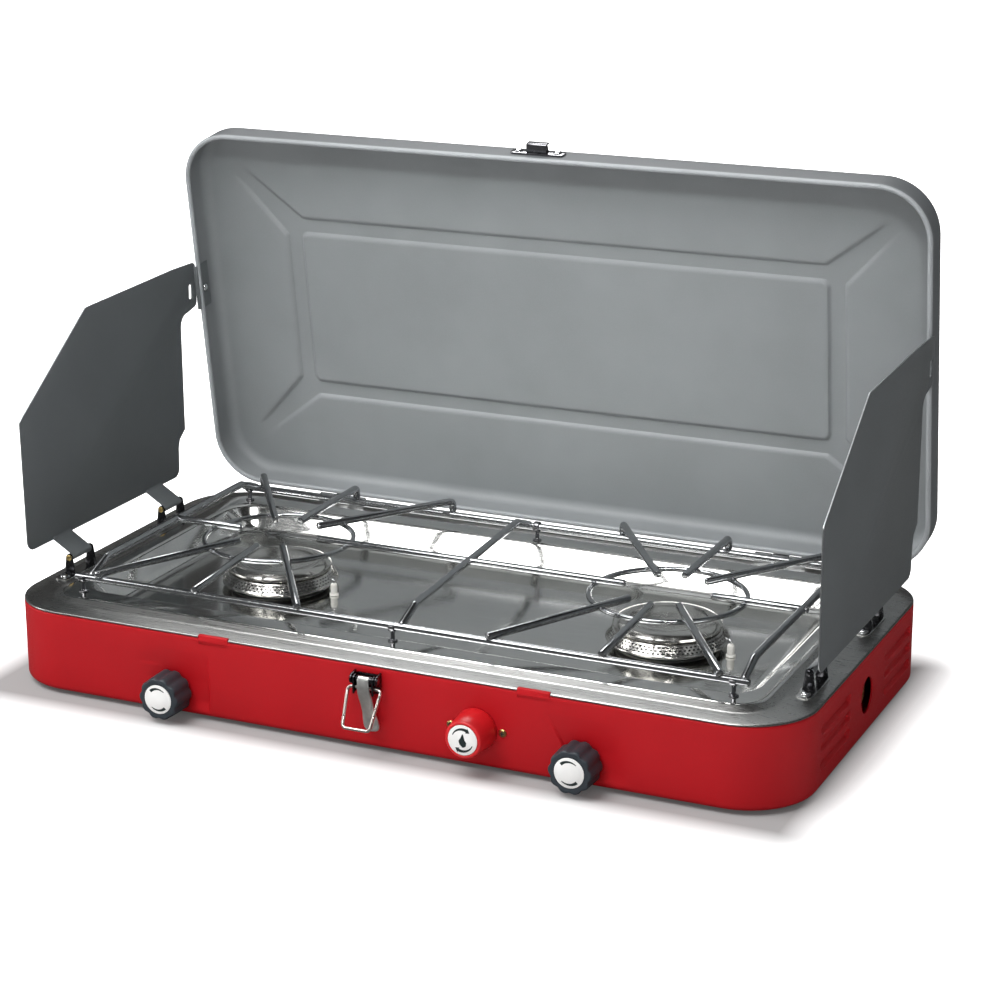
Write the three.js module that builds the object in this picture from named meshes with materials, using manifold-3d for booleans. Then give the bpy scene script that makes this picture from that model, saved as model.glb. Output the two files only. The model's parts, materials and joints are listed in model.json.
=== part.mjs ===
// A two-burner suitcase camp stove: steel case, pressed top pan, hinged lid, folding windshields,
// wire pot grate, gas valves and a rotary spark igniter. Millimetres, +Z up, +X to the cook's right,
// +Y to the back. The model is drawn in the case's frame (z = 0 is the case's underside) and lifted
// onto its feet at the end.
import * as THREE from "three";
import { mergeVertices } from "three/addons/utils/BufferGeometryUtils.js";
import Module from "manifold-3d";

// ---- Driving dimensions -------------------------------------------------------------------------
const WIDTH = 600;
const DEPTH = 311;
const HEIGHT = 59;
const CORNER = 49;
const CASE_WALL = 1.2;
const SHEET = 1;
const GAP = 0.3;
const FOOT_HEIGHT = 3;
// Moves the model so that the whole stove, lid open, is centred front to back on the origin.
const CENTRE_SHIFT = -2.343;

const FLANGE_TOP = HEIGHT + GAP + SHEET;
const BEAD_TOP = 64.6;
const BEAD = { width: 550, depth: 281, corner: 28, slope: 8 };
const RECESS = { width: 516, depth: 232, corner: 24, floor: 46, slope: 15 };

const BURNER_X = 155;
const VALVE_Z = 16.2;
const KNOB_RADIUS = 16;
const KNOB_LENGTH = 19.5;
const LABEL_RADIUS = 10.5;
const IGNITER = { x: 80, z: 27, length: 22 };
const PORT = { y: 2, z: 29.5, radius: 13 };

const RAIL = { y: 120, z: 75.5, half: 255.5, radius: 2.8 };
const FINGER = { z: 85.2, frontZ: 79.4, frontY: 123, rearY: 124.6, innerR: 32, radius: 2.9 };
const FINGER_ANGLES = [56, 90, 124];
const RING = { z: 81.5, radius: 55.5, wire: 2 };
const GRATE_BARS = [
  { front: -243, rear: -243 },
  { front: 7, rear: -4 },
  { front: 253, rear: 253 },
];
const CLIP_X = {
  left: { front: -249.5, rear: -249.5 },
  centre: { front: 0.5, rear: 2.5 },
  right: { front: 246.5, rear: 246.5 },
};

const LID_AXIS = { y: 157.1, z: 63.5 };
const LID = { width: 598, front: -141, rear: 153.6, rim: 62, top: 91.7, corner: 46, edge: 9 };
const LID_OPEN = 82;
const LEAF_X = 185;

const SHIELD_AXIS = { x: 285.3, z: 74 };
const SHIELD_INNER = 300.1;
const SHIELD_LEG = { width: 24, bendZ: 86 };
const SHIELD_HINGE_Y = [-70, 58];
const KNUCKLE_RADIUS = 2.8;
const PIN_RADIUS = 1.3;
const PIN_HOLE = 1.5;

const LATCH = { y: -161.5, z: 51 };
const BAIL = { drop: 6, length: 32, tilt: 30, wire: 1.1 };

const FRONT = -DEPTH / 2;
const BACK = DEPTH / 2;
const SIDES = { left: -1, right: 1 };

// ---- Solids -------------------------------------------------------------------------------------
const wasm = await Module();
wasm.setup();

function solid(geometry) {
  const bare = geometry.clone();
  bare.deleteAttribute("normal");
  bare.deleteAttribute("uv");
  const merged = mergeVertices(bare, 1e-4);
  return new wasm.Manifold(
    new wasm.Mesh({
      numProp: 3,
      vertProperties: merged.attributes.position.array,
      triVerts: new Uint32Array(merged.index.array),
    }),
  );
}

function geometryOf(made) {
  const mesh = made.getMesh();
  const geometry = new THREE.BufferGeometry();
  geometry.setAttribute("position", new THREE.BufferAttribute(mesh.vertProperties, 3));
  geometry.setIndex(new THREE.BufferAttribute(mesh.triVerts, 1));
  const faceted = geometry.toNonIndexed();
  faceted.computeVertexNormals();
  return faceted;
}

const join = (...solids) => solids.reduce((all, one) => all.add(one));
const cut = (body, ...tools) => tools.reduce((rest, tool) => rest.subtract(tool), body);

// A box given by its low and high corners.
function box(x0, x1, y0, y1, z0, z1) {
  const geometry = new THREE.BoxGeometry(x1 - x0, y1 - y0, z1 - z0);
  return solid(geometry.translate((x0 + x1) / 2, (y0 + y1) / 2, (z0 + z1) / 2));
}

// A rounded rectangle's prism from z0 to z1. `draw` narrows its top all round, and a negative one widens it.
function prism(width, depth, corner, z0, z1, { y = 0, draw = 0 } = {}) {
  const halfX = width / 2 - corner;
  const halfY = depth / 2 - corner;
  const shape = new THREE.Shape();
  shape.absarc(halfX, halfY, corner, 0, Math.PI / 2);
  shape.absarc(-halfX, halfY, corner, Math.PI / 2, Math.PI);
  shape.absarc(-halfX, -halfY, corner, Math.PI, 1.5 * Math.PI);
  shape.absarc(halfX, -halfY, corner, 1.5 * Math.PI, 2 * Math.PI);
  const geometry = new THREE.ExtrudeGeometry(shape, {
    depth: z1 - z0,
    bevelEnabled: false,
    curveSegments: 4,
  });
  const spot = geometry.attributes.position;
  for (let i = 0; i < spot.count; i++) {
    if (spot.getZ(i) < (z1 - z0) / 2) continue;
    const centreX = THREE.MathUtils.clamp(spot.getX(i), -halfX, halfX);
    const centreY = THREE.MathUtils.clamp(spot.getY(i), -halfY, halfY);
    spot.setX(i, spot.getX(i) - (draw * (spot.getX(i) - centreX)) / corner);
    spot.setY(i, spot.getY(i) - (draw * (spot.getY(i) - centreY)) / corner);
  }
  return solid(geometry.translate(0, y, z0));
}

// A straight round bar between two points.
function bar(from, to, radius, sides = 12, endRadius = radius) {
  const start = new THREE.Vector3(...from);
  const run = new THREE.Vector3(...to).sub(start);
  const geometry = new THREE.CylinderGeometry(endRadius, radius, run.length(), sides);
  geometry.translate(0, run.length() / 2, 0);
  const turn = new THREE.Quaternion().setFromUnitVectors(
    new THREE.Vector3(0, 1, 0),
    run.clone().normalize(),
  );
  geometry.applyQuaternion(turn);
  return solid(geometry.translate(start.x, start.y, start.z));
}

// A bent wire or tube through the given points, with its corners rounded by a curve.
function wire(points, radius, { sides = 8, steps = 24, tension = 0.15 } = {}) {
  const path = new THREE.CatmullRomCurve3(
    points.map((p) => new THREE.Vector3(...p)),
    false,
    "catmullrom",
    tension,
  );
  const shape = new THREE.Shape();
  shape.absarc(0, 0, radius, 0, 2 * Math.PI);
  const options = { steps, extrudePath: path, bevelEnabled: false, curveSegments: sides / 2 };
  return solid(new THREE.ExtrudeGeometry(shape, options));
}

// A turned piece about a vertical axis. The profile lists [radius, height] and starts and ends on the axis.
function turned(profile, x, y, segments = 22) {
  const points = profile.map(([r, z]) => new THREE.Vector2(r, z));
  const geometry = new THREE.LatheGeometry(points, segments);
  geometry.rotateX(Math.PI / 2);
  return solid(geometry.translate(x, y, 0));
}

// A flat outline in the plane across X, given as [y, z] points, with its thickness from x0 to x1.
function plateAcrossX(outline, x0, x1) {
  const shape = new THREE.Shape(outline.map(([y, z]) => new THREE.Vector2(y, z)));
  const geometry = new THREE.ExtrudeGeometry(shape, { depth: x1 - x0, bevelEnabled: false });
  geometry.rotateX(Math.PI / 2);
  geometry.rotateZ(Math.PI / 2);
  return solid(geometry.translate(x0, 0, 0));
}

// A flat outline in the plane across Y, given as [x, z] points, from y0 to y1.
function plateAcrossY(outline, y0, y1) {
  const shape = new THREE.Shape(outline.map(([x, z]) => new THREE.Vector2(x, z)));
  const geometry = new THREE.ExtrudeGeometry(shape, { depth: y1 - y0, bevelEnabled: false });
  geometry.rotateX(Math.PI / 2);
  return solid(geometry.translate(0, y1, 0));
}

// Points of an arc from one angle to another, in degrees.
function arc(x, y, radius, from, to, steps = 4) {
  return Array.from({ length: steps + 1 }, (_, i) => {
    const angle = THREE.MathUtils.degToRad(from + ((to - from) * i) / steps);
    return [x + radius * Math.cos(angle), y + radius * Math.sin(angle)];
  });
}

const mirrored = (made, side) => (side > 0 ? made : made.mirror([1, 0, 0]));

// ---- Materials ----------------------------------------------------------------------------------
const finish = (color, roughness, metalness) =>
  new THREE.MeshStandardMaterial({ color, roughness, metalness });
const MATERIALS = {
  caseRed: () => finish(0xaa1e23, 0.45, 0.1),
  lidGrey: () => finish(0x878a8c, 0.55, 0.35),
  shieldGrey: () => finish(0x5c6265, 0.5, 0.35),
  stainless: () => finish(0xc9c9c4, 0.2, 1),
  chrome: () => finish(0xbfc1c2, 0.15, 1),
  brass: () => finish(0xb08d57, 0.35, 1),
  aluminium: () => finish(0xb5b7b8, 0.4, 1),
  slate: () => finish(0x2f353a, 0.6, 0),
  black: () => finish(0x1a1a1b, 0.5, 0),
  white: () => finish(0xe6e6e2, 0.4, 0),
  rubber: () => finish(0x1c1c1c, 0.9, 0),
};

const stove = new THREE.Group();
function add(name, made, look, parent = stove) {
  const mesh = new THREE.Mesh(geometryOf(made), MATERIALS[look]());
  mesh.name = name;
  parent.add(mesh);
}

// ---- Case and pan -------------------------------------------------------------------------------
const TAB = { x: 121, half: 11.5, reach: 3.5, top: FLANGE_TOP + 1.5 };
const SLOT = { half: 31, height: 5, rows: [17, 29.5, 42], centres: [-68, 75] };
const SHAFT_HOLE = 6;
const IGNITER_HOLE = 9;

function baseCase() {
  const inside = prism(
    WIDTH - 2 * CASE_WALL,
    DEPTH - 2 * CASE_WALL,
    CORNER - CASE_WALL,
    CASE_WALL,
    HEIGHT + 1,
  );
  let made = cut(prism(WIDTH, DEPTH, CORNER, 0, HEIGHT), inside);
  for (const side of [-1, 1]) {
    const x = side * TAB.x;
    const riser = box(x - TAB.half, x + TAB.half, FRONT, FRONT + CASE_WALL, HEIGHT - 1, TAB.top);
    const hook = box(x - TAB.half, x + TAB.half, FRONT, FRONT + TAB.reach, TAB.top - 1.2, TAB.top);
    made = join(made, riser, hook);
    const shaft = [side * BURNER_X, FRONT - 1, VALVE_Z];
    made = cut(made, bar(shaft, [shaft[0], FRONT + 3, VALVE_Z], SHAFT_HOLE));
    for (const y of SLOT.centres) {
      for (const z of SLOT.rows) {
        const outline = [
          ...arc(y + SLOT.half - SLOT.height / 2, z, SLOT.height / 2, -90, 90, 3),
          ...arc(y - SLOT.half + SLOT.height / 2, z, SLOT.height / 2, 90, 270, 3),
        ];
        made = cut(made, mirrored(plateAcrossX(outline, WIDTH / 2 - 3, WIDTH / 2 + 1), side));
      }
    }
  }
  const port = bar([WIDTH / 2 - 3, PORT.y, PORT.z], [WIDTH / 2 + 1, PORT.y, PORT.z], PORT.radius, 24);
  const igniter = bar(
    [IGNITER.x, FRONT - 1, IGNITER.z],
    [IGNITER.x, FRONT + 3, IGNITER.z],
    IGNITER_HOLE,
    16,
  );
  return cut(made, port, igniter);
}

const BURNER_HOLE = 32;

function topPan() {
  const flange = { width: WIDTH - 0.4, depth: DEPTH - 0.4, corner: CORNER - 0.2 };
  const surface = (down) => {
    const { width, depth, corner } = flange;
    const spread = 2 * down;
    const slab = prism(
      width + 2 * spread,
      depth + 2 * spread,
      corner + spread,
      RECESS.floor - 1 - 5 * down,
      FLANGE_TOP - down,
    );
    const bead = prism(
      BEAD.width - spread,
      BEAD.depth - spread,
      BEAD.corner - down,
      FLANGE_TOP - down - 0.5,
      BEAD_TOP - down,
      { draw: BEAD.slope },
    );
    const recess = prism(
      RECESS.width - 2 * RECESS.slope + spread,
      RECESS.depth - 2 * RECESS.slope + spread,
      RECESS.corner - RECESS.slope + down,
      RECESS.floor - down,
      BEAD_TOP + 0.01,
      { draw: -RECESS.slope },
    );
    return cut(join(slab, bead), recess);
  };
  let made = cut(surface(0), surface(SHEET));
  for (const side of [-1, 1]) {
    const x = side * TAB.x;
    const reach = TAB.half + 0.5;
    const notch = box(x - reach, x + reach, FRONT - 1, FRONT + CASE_WALL + GAP, HEIGHT, BEAD_TOP);
    const hole = bar(
      [side * BURNER_X, 0, RECESS.floor - 3],
      [side * BURNER_X, 0, RECESS.floor + 3],
      BURNER_HOLE,
      28,
    );
    made = cut(made, notch, hole);
  }
  return made;
}

function foot(x, y) {
  return turned(
    [
      [0, -FOOT_HEIGHT],
      [7, -FOOT_HEIGHT],
      [8, -0.05],
      [0, -0.05],
    ],
    x,
    y,
    16,
  );
}

add("base_case", baseCase(), "caseRed");
add("top_pan", topPan(), "stainless");
for (const [side, sign] of Object.entries(SIDES)) {
  add(`foot_front_${side}`, foot(sign * 245, -110), "rubber");
  add(`foot_rear_${side}`, foot(sign * 245, 110), "rubber");
}

// ---- Burners ------------------------------------------------------------------------------------
const SEAT = RECESS.floor + GAP;
const TUBE_RADIUS = 7;
const TUBE_MOUTH_Y = -112;

// The cast cup under the flames, with the mixing tube that runs forward to the jet.
function burnerBody(x) {
  const cup = turned(
    [
      [0, 28],
      [18, 28],
      [27, 36],
      [28, SEAT],
      [37, SEAT],
      [37, SEAT + 1.2],
      [30, SEAT + 2.5],
      [0, SEAT + 2.5],
    ],
    x,
    0,
  );
  const tube = wire(
    [
      [x, TUBE_MOUTH_Y, VALVE_Z],
      [x, -60, VALVE_Z],
      [x, -28, VALVE_Z + 2],
      [x, -8, 32],
    ],
    TUBE_RADIUS,
    { steps: 10 },
  );
  const mouth = bar([x, TUBE_MOUTH_Y - 1, VALVE_Z], [x, TUBE_MOUTH_Y + 30, VALVE_Z], TUBE_RADIUS - 1.5);
  return cut(join(cup, tube), mouth);
}

// The perforated steel ring that the flames leave from.
function flameRing(x) {
  return cut(
    turned(
      [
        [0, SEAT + 3],
        [34, SEAT + 3],
        [43, SEAT + 4.5],
        [43, SEAT + 6.5],
        [37, SEAT + 12],
        [0, SEAT + 12],
      ],
      x,
      0,
      26,
    ),
    bar([x, 0, SEAT], [x, 0, SEAT + 20], 26, 20),
  );
}

function burnerCap(x) {
  const seat = SEAT + 12 + GAP;
  const spigot = SEAT + 4;
  return turned(
    [
      [0, spigot],
      [24, spigot],
      [24, seat],
      [36, seat],
      [39, seat + 2.5],
      [36, seat + 5],
      [26, seat + 6],
      [18, seat + 3.5],
      [0, seat + 3],
    ],
    x,
    0,
    26,
  );
}

function sparkElectrode(x) {
  const foot = [x + 50, -8, SEAT];
  const stem = bar(foot, [foot[0], foot[1], SEAT + 9], 2.6, 10);
  const tip = bar([foot[0], foot[1], SEAT + 7], [x + 44.5, -6, SEAT + 11], 0.8, 6);
  return join(stem, tip);
}

for (const [side, sign] of Object.entries(SIDES)) {
  const x = sign * BURNER_X;
  add(`burner_body_${side}`, burnerBody(x), "aluminium");
  add(`flame_ring_${side}`, flameRing(x), "stainless");
  add(`burner_cap_${side}`, burnerCap(x), "stainless");
  add(`spark_electrode_${side}`, sparkElectrode(x), "white");
}

// ---- Gas line, valves and knobs -----------------------------------------------------------------
const VALVE = { front: FRONT + CASE_WALL + GAP, back: -134, half: 8 };
const PIPE_RADIUS = 3;
const PIPE_Y = -145;
const STEM_RADIUS = 3.5;
const SIDE_RUN_X = 262;

function valveBody(x) {
  const block = box(x - VALVE.half, x + VALVE.half, VALVE.front, VALVE.back, VALVE_Z - 8, VALVE_Z + 8);
  const nose = bar([x, VALVE.back - 1, VALVE_Z], [x, VALVE.back + 6, VALVE_Z], 5);
  const bore = bar([x, VALVE.front - 1, VALVE_Z], [x, VALVE.front + 9, VALVE_Z], STEM_RADIUS + 0.2);
  return cut(join(block, nose), bore);
}

function valveStem(x) {
  return bar([x, VALVE.front + 8, VALVE_Z], [x, FRONT - 12, VALVE_Z], STEM_RADIUS);
}

function gasJet(x) {
  const start = VALVE.back + 6 + GAP;
  const hex = bar([x, start, VALVE_Z], [x, start + 5, VALVE_Z], 4.5, 6);
  const nozzle = bar([x, start + 4.5, VALVE_Z], [x, start + 9, VALVE_Z], 2.5, 10, 1.5);
  return join(hex, nozzle);
}

// A grip with shallow scallops round it and a blind socket that holds the valve's stem.
function knob(x) {
  const back = FRONT - 0.6;
  const face = back - KNOB_LENGTH;
  let made = bar([x, back, VALVE_Z], [x, face, VALVE_Z], KNOB_RADIUS, 40, KNOB_RADIUS - 0.6);
  const scallops = 10;
  for (let i = 0; i < scallops; i++) {
    const angle = ((i + 0.5) * 2 * Math.PI) / scallops;
    const cx = x + (KNOB_RADIUS + 4.4) * Math.cos(angle);
    const cz = VALVE_Z + (KNOB_RADIUS + 4.4) * Math.sin(angle);
    made = cut(made, bar([cx, back + 1, cz], [cx, face - 1, cz], 5.4, 10));
  }
  const socket = bar([x, back + 1, VALVE_Z], [x, FRONT - 12 - GAP, VALVE_Z], STEM_RADIUS + 0.2);
  const seat = bar([x, face - 1, VALVE_Z], [x, face + 0.9, VALVE_Z], LABEL_RADIUS + GAP, 24);
  return cut(made, socket, seat);
}

function disc(x, y, z) {
  return bar([x, y, z], [x, y + 0.7, z], LABEL_RADIUS, 24);
}

for (const [side, sign] of Object.entries(SIDES)) {
  const x = sign * BURNER_X;
  add(`valve_body_${side}`, valveBody(x), "brass");
  add(`valve_stem_${side}`, valveStem(x), "brass");
  add(`gas_jet_${side}`, gasJet(x), "brass");
  add(`knob_${side}`, knob(x), "slate");
  add(`knob_label_${side}`, disc(x, FRONT - 0.6 - KNOB_LENGTH - 0.2, VALVE_Z), "white");
}

function gasInlet() {
  const { y, z } = PORT;
  const thread = bar([272, y, z], [296, y, z], 7, 20);
  const hex = bar([266, y, z], [276, y, z], 9.5, 6);
  return cut(join(thread, hex), bar([280, y, z], [297, y, z], 3, 10));
}

function supplyPipe() {
  const start = BURNER_X + VALVE.half + GAP;
  return wire(
    [
      [start, PIPE_Y, VALVE_Z],
      [225, PIPE_Y, VALVE_Z],
      [244, -130, VALVE_Z],
      [250, -100, VALVE_Z],
      [250, -20, 22],
      [252, -2, 29],
      [258, PORT.y, PORT.z],
      [265, PORT.y, PORT.z],
    ],
    PIPE_RADIUS,
    { steps: 24 },
  );
}

function crossPipe() {
  const end = BURNER_X - VALVE.half - GAP;
  return bar([-end, PIPE_Y, VALVE_Z], [end, PIPE_Y, VALVE_Z], PIPE_RADIUS, 10);
}

add("gas_inlet", gasInlet(), "brass");
add("supply_pipe", supplyPipe(), "aluminium");
add("cross_pipe", crossPipe(), "aluminium");

// ---- Igniter ------------------------------------------------------------------------------------
const IGNITER_STEM = 3;
const SCREW_REACH = 19;

// The spark generator behind the front wall, with the spindle that the red knob turns.
function igniterBody() {
  const { x, z } = IGNITER;
  const flangePlate = box(x - 23, x + 23, FRONT + CASE_WALL + GAP, FRONT + 4, z - 7, z + 7);
  const barrel = bar([x, FRONT + 3, z], [x, FRONT + 34, z], 7, 16);
  const spindle = bar([x, FRONT + 3, z], [x, FRONT - 10, z], IGNITER_STEM);
  return join(flangePlate, barrel, spindle);
}

function igniterKnob() {
  const { x, z, length } = IGNITER;
  const back = FRONT - 0.6;
  const grip = bar([x, back, z], [x, FRONT - length, z], 15, 32, 13);
  const socket = bar([x, back + 1, z], [x, FRONT - 11, z], IGNITER_STEM + 0.2);
  const seat = bar([x, FRONT - length - 1, z], [x, FRONT - length + 0.9, z], LABEL_RADIUS + GAP, 24);
  return cut(grip, socket, seat);
}

function igniterScrew(x) {
  return turnedAcross([x, FRONT, IGNITER.z], 2.8, 1.6);
}

// A low round screw head standing on the front wall.
function turnedAcross([x, y, z], radius, height) {
  return bar([x, y - 0.05, z], [x, y - height, z], radius, 12, radius * 0.7);
}

// The insulated lead from the spark generator to the underside of an electrode.
function ignitionLead(sign) {
  const start = [IGNITER.x + sign * 3, FRONT + 34 + GAP, IGNITER.z + 1];
  const foot = [sign * BURNER_X + 50, -8, RECESS.floor - SHEET - GAP];
  return wire(
    [
      start,
      [start[0], start[1] + 14, start[2]],
      [(start[0] + foot[0]) / 2, -70, 36],
      [foot[0], foot[1] - 14, 36],
      [foot[0], foot[1] - 1, 38],
      foot,
    ],
    1.2,
    { sides: 6, steps: 16 },
  );
}

add("igniter_body", igniterBody(), "black");
add("igniter_knob", igniterKnob(), "caseRed");
add("igniter_label", disc(IGNITER.x, FRONT - IGNITER.length - 0.2, IGNITER.z), "white");
for (const [side, sign] of Object.entries(SIDES)) {
  add(`igniter_screw_${side}`, igniterScrew(IGNITER.x + sign * SCREW_REACH), "brass");
  add(`ignition_lead_${side}`, ignitionLead(sign), "black");
}

// ---- Pot grate ----------------------------------------------------------------------------------
const BAR_BEND = { front: -99, rear: 96 };

// Three fingers slope down to the front rail; three run level over the rear rail and bend down behind it.
function grateStar(x) {
  const { z, frontZ, frontY, rearY, innerR, radius } = FINGER;
  const fingers = FINGER_ANGLES.flatMap((degrees) => {
    const angle = THREE.MathUtils.degToRad(degrees);
    const point = (r, way, height) => [x + r * Math.cos(angle), way * r * Math.sin(angle), height];
    const front = frontY / Math.sin(angle);
    const rear = rearY / Math.sin(angle);
    return [
      bar(point(front, -1, frontZ), point(innerR, -1, z), radius, 6),
      bar(point(rear + 1, 1, z), point(innerR, 1, z), radius, 6),
      bar(point(rear, 1, z + 1), point(rear, 1, RAIL.z + 1), radius, 6),
    ];
  });
  const ring = new THREE.TorusGeometry(RING.radius, RING.wire, 6, 24);
  return join(solid(ring.translate(x, 0, RING.z)), ...fingers);
}

// The whole rack is one welding of steel wire: two rails, three cross bars, a spine and two stars.
function potGrate() {
  const { y, z, half, radius } = RAIL;
  const rails = [-1, 1].map((way) => bar([-half, way * y, z], [half + 2, way * y, z], radius, 6));
  const bars = GRATE_BARS.map(({ front, rear }) =>
    join(
      bar([front, BAR_BEND.front - 1, FINGER.z], [rear, BAR_BEND.rear + 1, FINGER.z], FINGER.radius, 6),
      bar([front, BAR_BEND.front, FINGER.z], [front, -y, z + 1], FINGER.radius, 6),
      bar([rear, BAR_BEND.rear, FINGER.z], [rear, y, z + 1], FINGER.radius, 6),
    ),
  );
  const tip = BURNER_X - FINGER.innerR;
  const far = BURNER_X + FINGER.innerR;
  const spine = bar([-tip, 0, FINGER.z], [tip, 0, FINGER.z], FINGER.radius, 6);
  const stubs = [
    bar([GRATE_BARS[0].front - 4, 0, FINGER.z], [-far, 0, FINGER.z], FINGER.radius, 6),
    bar([far, 0, FINGER.z], [GRATE_BARS[2].front + 4, 0, FINGER.z], FINGER.radius, 6),
  ];
  return join(...rails, ...bars, spine, ...stubs, grateStar(-BURNER_X), grateStar(BURNER_X));
}

// A spring clip that the front rail snaps down into.
function frontClip(x) {
  const { y, z, radius } = RAIL;
  const inner = radius + 0.5;
  const post = box(x - 2, x + 2, -y - inner - 1, -y + inner + 1, BEAD_TOP + GAP, z);
  return cut(post, box(x - 3, x + 3, -y - inner, -y + inner, z - inner, z + 1));
}

// A closed eye that the rear rail turns in.
function rearClip(x) {
  const { y, z, radius } = RAIL;
  const eye = bar([x - 2, y, z], [x + 2, y, z], radius + 2, 14);
  const post = box(x - 2, x + 2, y - 1.5, y + 1.5, BEAD_TOP + GAP, z - 1);
  return cut(join(eye, post), bar([x - 3, y, z], [x + 3, y, z], radius + 0.5, 14));
}

add("pot_grate", potGrate(), "chrome");
for (const [place, x] of Object.entries(CLIP_X)) {
  add(`grate_clip_front_${place}`, frontClip(x.front), "stainless");
  add(`grate_clip_rear_${place}`, rearClip(x.rear), "stainless");
}

// ---- Lid and its hinge --------------------------------------------------------------------------
// The lid is drawn closed, in a group whose origin is the hinge's axis, and the group is swung open.
const lidGroup = new THREE.Group();
lidGroup.position.set(0, LID_AXIS.y, LID_AXIS.z);
lidGroup.rotation.x = -THREE.MathUtils.degToRad(LID_OPEN);
stove.add(lidGroup);
const onLid = (name, made, look) =>
  add(name, made.translate([0, -LID_AXIS.y, -LID_AXIS.z]), look, lidGroup);

const FIELD = { width: 500, depth: 196, corner: 14, rise: 2.4, slope: 34 };
const LID_MIDDLE = (LID.front + LID.rear) / 2;

// The lid as a solid block: straight sides, a stepped round to the top, and a raised middle field.
function lidBlock(inset) {
  const width = LID.width - 2 * inset;
  const depth = LID.rear - LID.front - 2 * inset;
  const edge = LID.edge - inset;
  const top = LID.top - inset;
  const steps = 3;
  const layer = (i) => {
    const angle = (i * Math.PI) / (2 * steps);
    return { in: edge * (1 - Math.cos(angle)), z: top - edge + edge * Math.sin(angle) };
  };
  const corner = LID.corner - inset;
  const layers = Array.from({ length: steps }, (_, i) => {
    const [low, high] = [layer(i), layer(i + 1)];
    return prism(width - 2 * low.in, depth - 2 * low.in, corner - low.in, low.z, high.z, {
      y: LID_MIDDLE,
      draw: high.in - low.in,
    });
  });
  const sides = prism(width, depth, corner, LID.rim - (inset ? 1 : 0), top - edge, { y: LID_MIDDLE });
  const field = prism(
    FIELD.width - 2 * inset,
    FIELD.depth - 2 * inset,
    FIELD.corner + FIELD.slope,
    top - 0.2,
    top + FIELD.rise,
    { y: LID_MIDDLE, draw: FIELD.slope },
  );
  return join(sides, ...layers, field);
}

function lidShell() {
  return cut(lidBlock(0), lidBlock(SHEET));
}

// The plate with a raised hook that the latch's bail pulls down on.
function lidCatch() {
  const y = LID.front - GAP;
  const plate = box(-21, 21, y - 1.2, y, 69, 80);
  const neck = box(-8, 8, y - 7, y - 1, 70.5, 73);
  const lip = box(-8, 8, y - 8.2, y - 7, 70.5, 77);
  return join(plate, neck, lip);
}

const CLIP_ON_LID = { y0: -31, y1: 5, studY: -11, studZ: 70 };

// The bent clip over the lid's side rim, with the stud that keeps a raised windshield in place.
function shieldClip(sign) {
  const wall = LID.width / 2 - SHEET - GAP;
  const { y0, y1, studY, studZ } = CLIP_ON_LID;
  const plate = box(wall - 1, wall, y0, y1, LID.rim - 1.2, 78);
  const nose = box(wall - 1, LID.width / 2 + 0.5, y0, y1, LID.rim - 1.2, LID.rim - GAP);
  const stud = bar([wall - 0.5, studY, studZ], [wall - 4, studY, studZ], 3, 12);
  return mirrored(join(plate, nose, stud), sign);
}

// Barrel sections of a leaf, as [from, to] along X from the leaf's middle.
const CASE_BARRELS = [
  [-20, -7],
  [7, 20],
];
const LID_BARRELS = [[-6.3, 6.3]];

function barrels(x, spans, plate) {
  const { y, z } = LID_AXIS;
  const rings = spans.map(([from, to]) => bar([x + from, y, z], [x + to, y, z], 3, 14));
  return cut(join(plate, ...rings), bar([x - 21, y, z], [x + 21, y, z], PIN_HOLE, 12));
}

function caseLeaf(x) {
  const [near, far] = [BACK + GAP, BACK + GAP + 1.2];
  const plate = box(x - 20, x + 20, near, far, 36, 59.8);
  const risers = CASE_BARRELS.map(([from, to]) => box(x + from, x + to, near, far, 59, LID_AXIS.z));
  return barrels(x, CASE_BARRELS, join(plate, ...risers));
}

function lidLeaf(x) {
  const [near, far] = [LID.rear + GAP, LID.rear + GAP + 1.2];
  const plate = box(x - 20, x + 20, near, far, 67.4, 83);
  const [from, to] = LID_BARRELS[0];
  return barrels(x, LID_BARRELS, join(plate, box(x + from, x + to, near, far, LID_AXIS.z, 68)));
}

onLid("lid_shell", lidShell(), "lidGrey");
onLid("lid_catch", lidCatch(), "chrome");
for (const [side, sign] of Object.entries(SIDES)) {
  onLid(`windshield_clip_${side}`, shieldClip(sign), "shieldGrey");
  onLid(`lid_hinge_leaf_${side}`, lidLeaf(sign * LEAF_X), "chrome");
  add(`case_hinge_leaf_${side}`, caseLeaf(sign * LEAF_X), "chrome");
}
add(
  "lid_hinge_pin",
  bar([-LEAF_X - 22, LID_AXIS.y, LID_AXIS.z], [LEAF_X + 22, LID_AXIS.y, LID_AXIS.z], PIN_RADIUS, 10),
  "chrome",
);

// ---- Windshields --------------------------------------------------------------------------------
// The raised panel, seen from the side as [y, z]. Its rear tab ends just short of the open lid's rim.
const SHIELD_OUTLINE = [
  ...arc(-106, 93, 8, 270, 180),
  [-115, 184],
  [-30, 249],
  [100, 253],
  [128, 253],
  [133, 216],
  ...arc(118, 204, 10, 90, 180),
  [108, 119],
  [99, 114],
  [97, 108],
  ...arc(91, 91, 6, 0, -90),
];

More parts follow.
